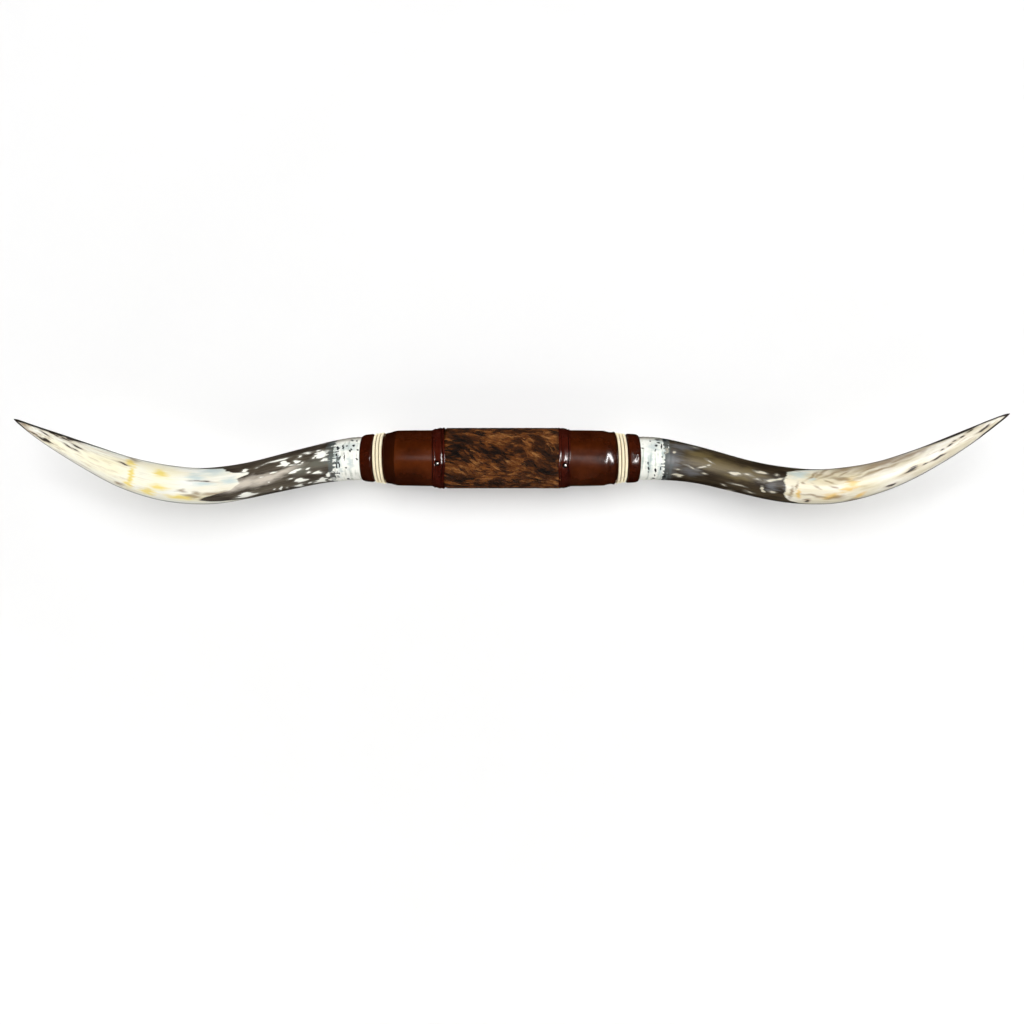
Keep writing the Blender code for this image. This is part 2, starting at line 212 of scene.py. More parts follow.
# Camera: the photo is taken square on, close, with the mount a little above the middle
view = {
    "distance": 1.400,  # from the long axis
    "sideways": 0.0209,
    "lens": 27.14,
    "sensor": 36,
    "axisDown": 53.9,  # the axis lies this many pixels above the photo's middle
    "frame": 1024,
}
cameraData = bpy.data.cameras.new("photo_camera")
cameraData.lens = view["lens"]
cameraData.sensor_width = view["sensor"]
cameraData.shift_y = -view["axisDown"] / view["frame"]
camera = addObject("photo_camera", cameraData)
camera.location = (view["sideways"], axisY - view["distance"], 0)
camera.rotation_euler = (math.pi / 2, 0, 0)
bpy.context.scene.camera = camera


def photoPlace(points):  # where points of the object lie in the photo, in pixels across and down
    focal = view["lens"] / view["sensor"] * view["frame"]
    depth = points[:, 1] - (axisY - view["distance"])
    across = view["frame"] / 2 + focal * (points[:, 0] - view["sideways"]) / depth
    down = view["frame"] / 2 - view["axisDown"] - focal * points[:, 2] / depth
    return across, down


say("camera set")


# Turned pieces: a ring of points on the axis, drawn along it and scaled step by step, rounded off,
# with its points read around the axis
def turnPiece(name, side, profile):
    out, radius = profile[0]
    obj = startRing(name, 64, radius * mm, (side * out * mm, axisY, 0), (0, math.pi / 2, 0))
    for nextOut, nextRadius in profile[1:] + profile[:1]:
        grow, centre = nextRadius / radius, (side * nextOut * mm, axisY, 0)
        drawTo((side * (nextOut - out) * mm, 0, 0), (1, grow, grow), center_override=centre)
        out, radius = nextOut, nextRadius
    bpy.ops.mesh.select_all(action="SELECT")
    bpy.ops.mesh.remove_doubles(threshold=0.00001)
    closeRings(obj, 2)
    points = readPoints(obj)
    angle, radius = roundCoordinates(points)
    return obj, points[:, 0], angle, radius


def waves(x, angle, size, seed):  # soft uneven swelling of hand-worked leather
    draw = np.random.default_rng(seed)
    total = np.zeros_like(x)
    for turns in (1, 2, 3, 5, 7):  # swellings in a turn
        length = draw.uniform(25, 90) * mm
        shift = draw.uniform(0, 2 * math.pi, 2)
        total += np.sin(turns * angle + shift[0] + np.sin(x / length + shift[1]) * 1.5) / turns
    return total * size


# Leather, dyed oxblood, waxed and rubbed up: deep red-brown that is lighter where handling has thinned
# the dye and where painted front light falls, with painted shade nearly black in the creases, and a smooth
# glaze that shows narrow clean highlights
def makeLeather(name, deep, middle, thin, shine):
    material, shader = startMaterial(name)
    coords = addNode(material, "TexCoord").outputs["Object"]
    wornAndFrontLight = addNode(material, "Attribute", attribute_name="wornAndFrontLight").outputs["Fac"]
    shadedCrease = addNode(material, "Attribute", attribute_name="shadedCrease").outputs["Fac"]
    mottle = addNode(
        material, "TexNoise", {"Vector": coords, "Scale": 1 / 0.045, "Detail": 4, "Roughness": 0.6}
    )
    handling = addNode(
        material, "TexNoise", {"Vector": coords, "Scale": 1 / 0.009, "Detail": 5, "Roughness": 0.7}
    )
    blend = addNode(material, "Mix", {"Factor": 0.35, "A": mottle, "B": handling}, data_type="FLOAT")
    dyed = addNode(
        material, "ValToRGB", {"Fac": blend}, stops=[(0.32, deep), (0.50, middle), (0.70, thin)]
    )
    # lighter where the dye is rubbed thin and where painted front light falls on the front
    rubbedAndLit = addNode(material, "MapRange", {"Value": mottle, "From Min": 0.3, "From Max": 0.65}, clamp=True)
    rubbedAndLit = addNode(material, "Math", {0: rubbedAndLit, 1: wornAndFrontLight}, operation="MULTIPLY")
    rubbedAndFrontLit = addNode(material, "Mix", {"Factor": rubbedAndLit, "A": dyed, "B": "#5E2A0A"}, data_type="RGBA")
    # painted shade: creases, necks and folds darkened to near black
    colour = addNode(material, "Mix", {"Factor": shadedCrease, "A": rubbedAndFrontLit, "B": "#1A0602"}, data_type="RGBA")
    pores = addNode(material, "TexNoise", {"Vector": coords, "Scale": 1 / 0.0008, "Detail": 3})
    wrinkles = addNode(
        material, "TexNoise", {"Vector": coords, "Scale": 1 / 0.005, "Detail": 4, "Distortion": 0.4}
    )
    poreBump = addNode(material, "Bump", {"Strength": 0.03, "Distance": 0.0002, "Height": pores})
    bump = addNode(
        material, "Bump", {"Strength": 0.02, "Distance": 0.0006, "Height": wrinkles, "Normal": poreBump}
    )
    rough = addNode(
        material, "MapRange",
        {"Value": handling, "From Min": 0.3, "From Max": 0.7, "To Min": shine, "To Max": shine + 0.07},
    )
    plug(material, shader, {"Base Color": colour, "Roughness": rough, "Normal": bump, "IOR": 1.48})
    return material


leather = makeLeather("oxblood leather, waxed", "#280B02", "#381303", "#4A1E08", 0.18)
strapLeather = makeLeather("oxblood leather, burnished strap", "#280905", "#3A1008", "#4A1A0C", 0.16)
cuffLeather = makeLeather("oxblood leather, stretched wet", "#220701", "#340E03", "#461A07", 0.18)
say("leather ready")

sleeves = {
    "left": {
        "node": "sleeve_left", "seed": 3, "neck": 184.5, "drawn": 0.20, "neckShade": 0.72, "swell": 0.16,
        "outer": [
            (104, 50.2), (108, 50.7), (118, 50.8), (135, 50.8), (160, 50.4), (178, 50.1), (185, 49.9),
            (188, 49.5), (192, 48.5), (197, 46.9), (200.5, 46.1), (203, 45.9), (204.6, 45.6), (205.6, 44.8),
        ],
        "inner": [(205.4, 42.8), (196, 43.5), (180, 47.2), (104, 48.4)],
    },
    "right": {
        "node": "sleeve_right", "seed": 5, "neck": 202, "drawn": 0.0, "neckShade": 0.5, "swell": 0.05,
        "outer": [
            (107, 50.2), (111, 50.7), (120, 50.8), (140, 50.7), (162, 50.4), (180, 50.1), (186.5, 49.9),
            (189, 49.3), (193, 48.0), (198, 47.1), (202, 47.0), (204, 47.6), (205.2, 48.2), (205.9, 47.7),
        ],
        "inner": [(205.5, 45.5), (200, 44.6), (182, 47.2), (107, 48.4)],
    },
}
for name, settings in sleeves.items():
    profile = settings["outer"] + settings["inner"]
    sleeve, x, angle, radius = turnPiece(f"leather_sleeve_{name}", sideOf[name], profile)
    out = np.abs(x) / mm
    nearRope = np.clip((out - 190) / 12, 0, 1)
    radius += waves(x, angle, settings["swell"] * mm, settings["seed"])
    radius += nearRope * settings["drawn"] * mm * np.sin(17 * angle + 2 * np.sin(3 * angle))
    writePoints(sleeve, fromRound(x, angle, radius))
    # lighter on the front: rubbed dye and painted front light
    addField(sleeve, "wornAndFrontLight", 0.42 * hill(angle, 0.62) * (1 - nearRope))
    # painted shade on the neck beside the rope
    addField(sleeve, "shadedCrease", settings["neckShade"] * np.clip((out - settings["neck"]) / 2, 0, 1))
    setMaterial(sleeve, leather)
    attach(sleeve, "root")
    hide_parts(settings["node"])
say("sleeves turned")

# Straps over the joints of hide and sleeve. They bow towards the middle on the front, and the
# tack pulls a dimple into each
straps = {
    "left": {
        "node": "strap_left", "tack": "tack_left", "seed": 11,
        "bow": (5.2, 1.2), "shadedCreases": (105.4, 119.9), "fineShadedCreases": (115.9,),
        "outer": [
            (101.4, 54.2), (101.2, 54.8), (101.9, 55.5), (103.1, 55.7), (104.3, 55.3), (105.0, 54.3),
            (105.6, 54.0), (106.3, 54.4), (107.4, 55.2), (108.8, 55.3), (111, 54.8), (113.6, 53.9),
            (115.2, 53.2), (115.9, 53.0), (116.6, 53.3), (117.7, 53.8), (118.7, 53.6), (119.5, 52.6),
            (119.9, 51.9), (120.5, 51.7), (121.2, 52.0), (121.9, 51.6), (121.7, 51.1),
        ],
        "inner": [(114, 50.9), (103, 51.4)],
    },
    "right": {
        "node": "strap_right", "tack": "tack_right", "seed": 13,
        "bow": (2.6, 2.4), "shadedCreases": (103.9, 121.9), "fineShadedCreases": (109.4,),
        "outer": [
            (104.3, 53.6), (104.2, 54.3), (105.0, 55.0), (106.3, 55.1), (107.6, 54.8), (108.6, 54.3),
            (109.6, 54.1), (111.2, 54.4), (113.2, 54.6), (115.0, 54.4), (116.6, 54.0), (118.2, 53.6),
            (119.6, 53.5), (120.8, 53.1), (121.5, 52.1), (122.0, 51.6), (122.7, 51.8), (123.5, 52.4),
            (124.4, 52.4), (125.3, 52.0), (125.8, 51.2),
        ],
        "inner": [(116, 50.9), (106, 51.4)],
    },
}
for name, settings in straps.items():
    side, profile = sideOf[name], settings["outer"] + settings["inner"]
    strap, x, angle, radius = turnPiece(f"leather_strap_{name}", side, profile)
    out = np.abs(x) / mm
    innerEdge, outerEdge = settings["outer"][0][0], settings["outer"][-1][0]
    share = np.clip((out - innerEdge) / (outerEdge - innerEdge), 0, 1)
    # painted shade in the strap's grooves and at its edges
    shadedCreases = sum(hill(out - place, 0.75) for place in settings["shadedCreases"])
    shadedCreases = shadedCreases + 0.5 * sum(hill(out - place, 0.6) for place in settings["fineShadedCreases"])
    facing = np.clip(np.cos(angle), 0, 1) ** 2
    bow = settings["bow"][0] * (1 - share) + settings["bow"][1] * share
    out -= bow * facing
    out += 0.5 * np.sin(3 * angle + settings["seed"]) + 0.3 * np.sin(7 * angle)
    tackLow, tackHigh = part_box(settings["tack"])
    tackPlace = (tackLow + tackHigh) / 2
    tackAngle = math.atan2(tackPlace.z, axisY - tackPlace.y)
    along = out * mm * side - tackPlace.x
    around = (angle - tackAngle) * radius
    away = np.hypot(along, around)
    turn = np.arctan2(around, along)
    raised = np.clip((radius / mm - 52.2) / 1.5, 0, 1)  # only the outer face is drawn in
    radius -= raised * 0.9 * mm * hill(away, 5.5 * mm)
    radius += raised * 0.35 * mm * np.cos(3 * turn + 0.6) * hill(away - 7.5 * mm, 2.6 * mm)
    radius += raised * waves(x, angle, 0.10 * mm, settings["seed"])
    writePoints(strap, fromRound(side * out * mm, angle, radius))
    addField(strap, "shadedCrease", np.clip(shadedCreases, 0, 0.9))
    setMaterial(strap, strapLeather)
    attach(strap, "root")
    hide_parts(settings["node"])
say("straps turned")

# Cuffs over the horn roots: a neck under the rope, then a swell with a rolled edge
cuffs = {
    "left": {"node": "cuff_left", "seed": 21, "swell": 43.5, "pucker": 0.0},
    "right": {"node": "cuff_right", "seed": 23, "swell": 44.6, "pucker": 1.0},
}
for name, settings in cuffs.items():
    side, swell = sideOf[name], settings["swell"]
    outer = [
        (206.8, 40.6), (214, 39.8), (221, 38.9), (225.6, 38.5), (226.6, 39.4), (227.6, swell - 1.6),
        (229.2, swell - 0.3), (232, swell), (237, swell - 0.2), (241.5, swell - 0.6), (244.8, swell - 1.2),
        (247.2, swell - 2.2), (248.6, swell - 3.6), (248.8, 39.9),
    ]
    inner = [(247.4, 39.5), (243, 39.2), (236, 38.4), (226, 37.5), (208, 37.8)]
    cuff, x, angle, radius = turnPiece(f"leather_cuff_{name}", side, outer + inner)
    out = np.abs(x) / mm
    swollen = np.clip((radius / mm - 40.2) / 1.5, 0, 1)  # 0 on the neck and inside
    radius += swollen * waves(x, angle, 0.22 * mm, settings["seed"])
    pleat = hill(out - 229, 5) * 0.35 * mm
    radius += swollen * pleat * np.sin(15 * angle + 2.2 * np.sin(2 * angle + settings["seed"]))
    out += swollen * 0.5 * np.sin(2 * angle + settings["seed"]) * np.clip((out - 235) / 12, 0, 1)
    around, along = radius * angle / mm - 3.7, out - 240.5  # mm from the middle of the pucker
    lobes = hill(np.hypot(along + 0.5, around - 2.6), 2.6) + hill(np.hypot(along - 2.8, around - 2.0), 2.4)
    shadedCrease = hill(along - 0.9 - 0.25 * around, 0.8) * hill(around + 2, 5)
    fold = hill(np.abs(along + 3.6) - 0.5 * (around + 2), 1.0) * hill(around - 0.5, 5)
    radius += settings["pucker"] * swollen * mm * (0.9 * lobes - 0.9 * shadedCrease - 0.7 * fold)
    writePoints(cuff, fromRound(side * out * mm, angle, radius))
    # painted shade in the crease and fold of the pucker
    addField(cuff, "shadedCrease", np.clip(settings["pucker"] * (shadedCrease + fold), 0, 0.8))
    setMaterial(cuff, cuffLeather)
    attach(cuff, "root")
    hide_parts(settings["node"])
say("cuffs turned")

# Rope bindings: three-strand cotton cord in level turns that cross over at the back
rope = {
    "turns": 3, "diameter": 5.6, "pitch": 5.95, "middle": 216.6, "innerRadius": 43.9, "outerRadius": 42.0,
    "meanRadius": 43, "tilt": 0.8, "endAngle": 24, "crossing": 60,  # degrees
    "strands": 3, "lay": 13.8, "strandRadius": 1.40, "grooveRadius": 1.95, "pointsPerLay": 12,
}


def ropeCentre(share, side):  # the cord's middle, share 0 to 1 of the way along
    endAngle = math.radians(rope["endAngle"])
    wound = endAngle + (2 * math.pi * rope["turns"] - 2 * endAngle) * share
    turn, rest = np.divmod(wound + math.pi, 2 * math.pi)
    crossing = np.clip((rest - math.pi) / math.radians(rope["crossing"]) + 0.5, 0, 1)
    level = np.clip(turn - 1 + crossing ** 2 * (3 - 2 * crossing), 0, rope["turns"] - 1)
    last = rope["turns"] - 1
    out = rope["middle"] + (level - last / 2) * rope["pitch"]
    radius = rope["innerRadius"] + (rope["outerRadius"] - rope["innerRadius"]) * level / last
    around = wound * side
    x = side * out - rope["tilt"] * np.sin(around)
    return np.stack([x * mm, axisY + radius * mm * np.cos(around), radius * mm * np.sin(around)], axis=1)


def makeCord(name):  # bleached cotton: matt, cream, with random dirt, and painted shade brown in the grooves, between the turns and towards the leather
    material, shader = startMaterial(name)
    coords = addNode(material, "TexCoord").outputs["Object"]
    height = addNode(material, "Attribute", attribute_name="reliefShade").outputs["Fac"]
    dirt = addNode(material, "TexNoise", {"Vector": coords, "Scale": 1 / 0.005, "Detail": 4})
    tone = addNode(material, "Math", {0: dirt, 1: 0.4, 2: height}, operation="MULTIPLY_ADD")
    colour = addNode(material, "ValToRGB", {"Fac": tone}, stops=[
        (0.26, "#4E2A0C"), (0.46, "#9A6C34"), (0.66, "#E2CE9C"), (0.86, "#FCF5D8"),
    ])
    fibres = addNode(material, "TexNoise", {"Vector": coords, "Scale": 1 / 0.0009, "Detail": 3})
    bump = addNode(material, "Bump", {"Strength": 0.5, "Distance": 0.0003, "Height": fibres})
    plug(material, shader, {
        "Base Color": colour, "Roughness": 0.85, "Normal": bump,
        "Sheen Weight": 0.2, "Sheen Roughness": 0.5,
    })
    return material


def windStrand(name, side, phase):
    length = 2 * math.pi * rope["meanRadius"] * rope["turns"]
    count = int(length / rope["lay"] * rope["pointsPerLay"])
    share = np.linspace(0, 1, count)
    centre = ropeCentre(share, side)
    forward = np.gradient(centre, axis=0)
    forward /= np.linalg.norm(forward, axis=1)[:, None]
    outward = centre - np.array([0, axisY, 0])
    outward[:, 0] = 0
    outward /= np.linalg.norm(outward, axis=1)[:, None]
    sideways = np.cross(forward, outward)
    twist = 2 * math.pi * share * length / rope["lay"] + phase
    offset = (rope["diameter"] / 2 - rope["strandRadius"]) * mm
    middle = centre + offset * (outward * np.cos(twist)[:, None] + sideways * np.sin(twist)[:, None])
    data = bpy.data.curves.new(name, "CURVE")
    data.dimensions = "3D"
    data.bevel_depth = rope["strandRadius"] * mm
    data.bevel_resolution = 2
    data.use_fill_caps = True
    spline = data.splines.new("POLY")
    spline.points.add(count - 1)
    spline.points.foreach_set("co", np.column_stack([middle, np.ones(count)]).ravel())
    selectOnly(addObject(name, data))
    bpy.ops.object.convert(target="MESH")
    return bpy.context.object


cotton = makeCord("cotton cord, three strand")
for name, side in sideOf.items():
    strands = [
        windStrand(f"rope_strand_{name}_{number}", side, 2 * math.pi * number / rope["strands"])
        for number in range(rope["strands"])
    ]
    for strand in strands:
        strand.select_set(True)
    bpy.context.view_layer.objects.active = strands[0]
    bpy.ops.object.join()
    binding = bpy.context.object
    binding.name = binding.data.name = f"rope_binding_{name}"
    bpy.ops.object.shade_smooth()
    points = readPoints(binding)
    angle, radius = roundCoordinates(points)
    centres = ropeCentre(np.linspace(0, 1, 3000), side)
    tree = buildTree(centres)
    found = [tree.find(point) for point in points.tolist()]
    nearest = centres[[number for _, number, _ in found]]
    fromCentre = np.array([distance for _, _, distance in found]) / mm
    cordRadius = np.hypot(nearest[:, 1] - axisY, nearest[:, 2])
    groove = rope["grooveRadius"]
    # painted shade: the cord's colour carries its relief, brown in the strand grooves, between the turns
    # and on the side towards the leather
    crest = np.clip((fromCentre - groove) / (rope["diameter"] / 2 - groove), 0, 1)  # 0 in the grooves
    proud = np.clip((radius - cordRadius) / mm / 1.6, -0.6, 1)  # below 0 towards what it is bound on
    beside = np.abs(points - nearest)[:, 0] / mm
    shadeBetween = 0.42 * np.clip((beside - 1.75) / 0.9, 0, 1)
    lit = 0.66 * np.clip((crest - 0.3) / 0.5, 0, 1)
    addField(binding, "reliefShade", np.clip(0.08 + lit + 0.24 * proud - shadeBetween, 0, 1))
    setMaterial(binding, cotton)
    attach(binding, "root")
    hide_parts(f"rope_{name}")
say("rope wound")


# Horns: rings read from the solids, drawn out from the root to the tip
def sliceNode(node, places):  # middle and half size of the solid where a plane x = place cuts it
    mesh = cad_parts[node].data
    points = np.array([vertex.co[:] for vertex in mesh.vertices])
    edges = np.array([edgeShade.vertices[:] for edgeShade in mesh.edges])
    first, second = points[edges[:, 0]], points[edges[:, 1]]
    middles, halves = [], []
    for place in places:
        crosses = (first[:, 0] - place) * (second[:, 0] - place) < 0
        start, end = first[crosses], second[crosses]
        share = (place - start[:, 0]) / (end[:, 0] - start[:, 0])
        cut = start + (end - start) * share[:, None]
        middles.append((cut.min(0) + cut.max(0)) / 2)
        halves.append((cut.max(0) - cut.min(0)) / 2)
    return np.array(middles), np.array(halves)


def drawHorn(name, node, side, rootOut, rings=58, sides=24):  # rings and sides of the cage
    low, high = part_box(node)
    tip = high.x if side > 0 else low.x
    share = 1 - (1 - np.linspace(0, 0.9985, rings)) ** 1.15  # closer rings towards the tip
    places = side * rootOut * mm + (tip - side * rootOut * mm) * share
    middles, halves = sliceNode(node, places)
    halves = halves / (2 / 3 + math.cos(2 * math.pi / sides) / 3)  # what subdividing takes off the rings
    horn = startRing(name, sides, 1, middles[0], (0, math.pi / 2, 0), "NGON")
    bpy.ops.transform.resize(value=(1, halves[0][1], halves[0][2]), center_override=middles[0])
    for ring in range(1, rings):
        step = middles[ring] - middles[ring - 1]
        grow = halves[ring][1:] / halves[ring - 1][1:]
        drawTo(step, (1, *grow), center_override=middles[ring])
    bpy.ops.mesh.extrude_region_move(TRANSFORM_OT_translate={"value": (side * 0.6 * mm, 0, 0.2 * mm)})
    bpy.ops.mesh.merge(type="CENTER")
    closeRings(horn, 3)
    return horn


def readHorn(horn, node, side):  # where each point of the mesh lies on the horn and in the photo
    low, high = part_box(node)
    places = np.linspace(low.x + 0.5 * mm, high.x - 0.5 * mm, 240)
    middles, halves = sliceNode(node, places)
    points = readPoints(horn)
    x = points[:, 0]
    middle = np.stack([np.interp(x, places, middles[:, axis]) for axis in range(3)], axis=1)
    forward, up = middle[:, 1] - points[:, 1], points[:, 2] - middle[:, 2]
    across, down = photoPlace(points)
    normals = np.empty(len(points) * 3)
    horn.data.vertex_normals.foreach_get("vector", normals)
    toCamera = np.array(camera.location) - points
    toCamera /= np.linalg.norm(toCamera, axis=1)[:, None]
    column = np.round(across * 2).astype(int)  # half a pixel wide
    top, bottom = np.full(view["frame"] * 2, 9999.0), np.full(view["frame"] * 2, -9999.0)
    np.minimum.at(top, column, down)
    np.maximum.at(bottom, column, down)
    filled = np.flatnonzero(bottom > 0)
    top = np.interp(across * 2, filled, top[filled])
    bottom = np.interp(across * 2, filled, bottom[filled])
    middleLine = (top + bottom) / 2
    order = np.argsort(across)
    sample = order[::400]  # enough of them to read the slope of the horn
    slopeFrom = across[sample]
    slope = np.gradient(middleLine[sample], slopeFrom + np.arange(len(sample)) * 1e-9)
    grain = np.stack([x, forward, up + side * 0.4], axis=1)
    return {
        "fray": 6.0 * smallNoise(grain * np.array([0.10, 1.0, 1.0]), 1 / 0.0028, 3),
        "waver": 1.5 * smallNoise(grain * np.array([0.6, 1.0, 1.0]), 1 / 0.008, 6),
        "out": side * x / mm,
        "angle": np.arctan2(up, forward),
        "half": np.interp(x, places, halves[:, 2]) / mm,
        "grain": grain,
        "across": across,
        "down": down,
        "facing": np.sum(normals.reshape(-1, 3) * toCamera, axis=1),
        "level": np.clip((middleLine - down) / np.maximum((bottom - top) / 2, 0.3), -1, 1),
        "height": bottom - top,
        "slopeAt": (slopeFrom, slope),
    }


pixel = 1.81  # mm of the object to one pixel of the photo
farAway = 50.0  # mm, for points that no mark is near


def reachOf(spot, mark):  # how far out each point is in a mark's ellipse: 1 at its edge
    place, drop, length, height = mark[:4]
    lean = math.atan(np.interp(place, *spot["slopeAt"])) + math.radians(mark[4] if len(mark) > 4 else 0)
    along, beside = leaning(spot["across"] - place, spot["down"] - drop, lean)
    u = along + spot["fray"] * min(1, length / 9)
    v = beside + spot["waver"] * min(1, height / 4 + 0.25)
    return np.hypot(u / (length / 2), v / (height / 2))


def nearestMark(spot, marks):  # mm outside the nearest mark's edge, less than 0 inside
    nearest = np.full(len(spot["out"]), farAway)
    for mark in marks:
        thin = max(mark[3], 1.2)
        reach = reachOf(spot, mark[:3] + (thin,) + mark[4:])
        nearest = np.minimum(nearest, (reach - 1) * thin / 2 * pixel)
    return np.where(spot["facing"] > 0, nearest, farAway)


def softWash(spot, marks):  # 0 to 1, soft patches of tint
    wash = np.zeros(len(spot["out"]))
    for mark in marks:
        wash = np.maximum(wash, np.exp(-reachOf(spot, mark) ** 2 * 0.7))
    return wash * np.clip(spot["facing"] * 4, 0, 1)


def scatterMarks(spot, settings, seed):  # the same kind of marks all over the back
    draw = np.random.default_rng(seed)
    nearest = np.full(len(spot["out"]), farAway)
    for number in range(settings["count"]):
        place = draw.uniform(*settings["out"])
        middle = draw.uniform(math.radians(105), math.radians(255))
        length, height = draw.uniform(*settings["length"]), draw.uniform(*settings["height"])
        around = (spot["angle"] - middle + math.pi) % (2 * math.pi) - math.pi
        reach = np.hypot((spot["out"] - place) / (length / 2), around * spot["half"] / (height / 2))
        nearest = np.minimum(nearest, (reach - 1) * height / 2)
    return nearest
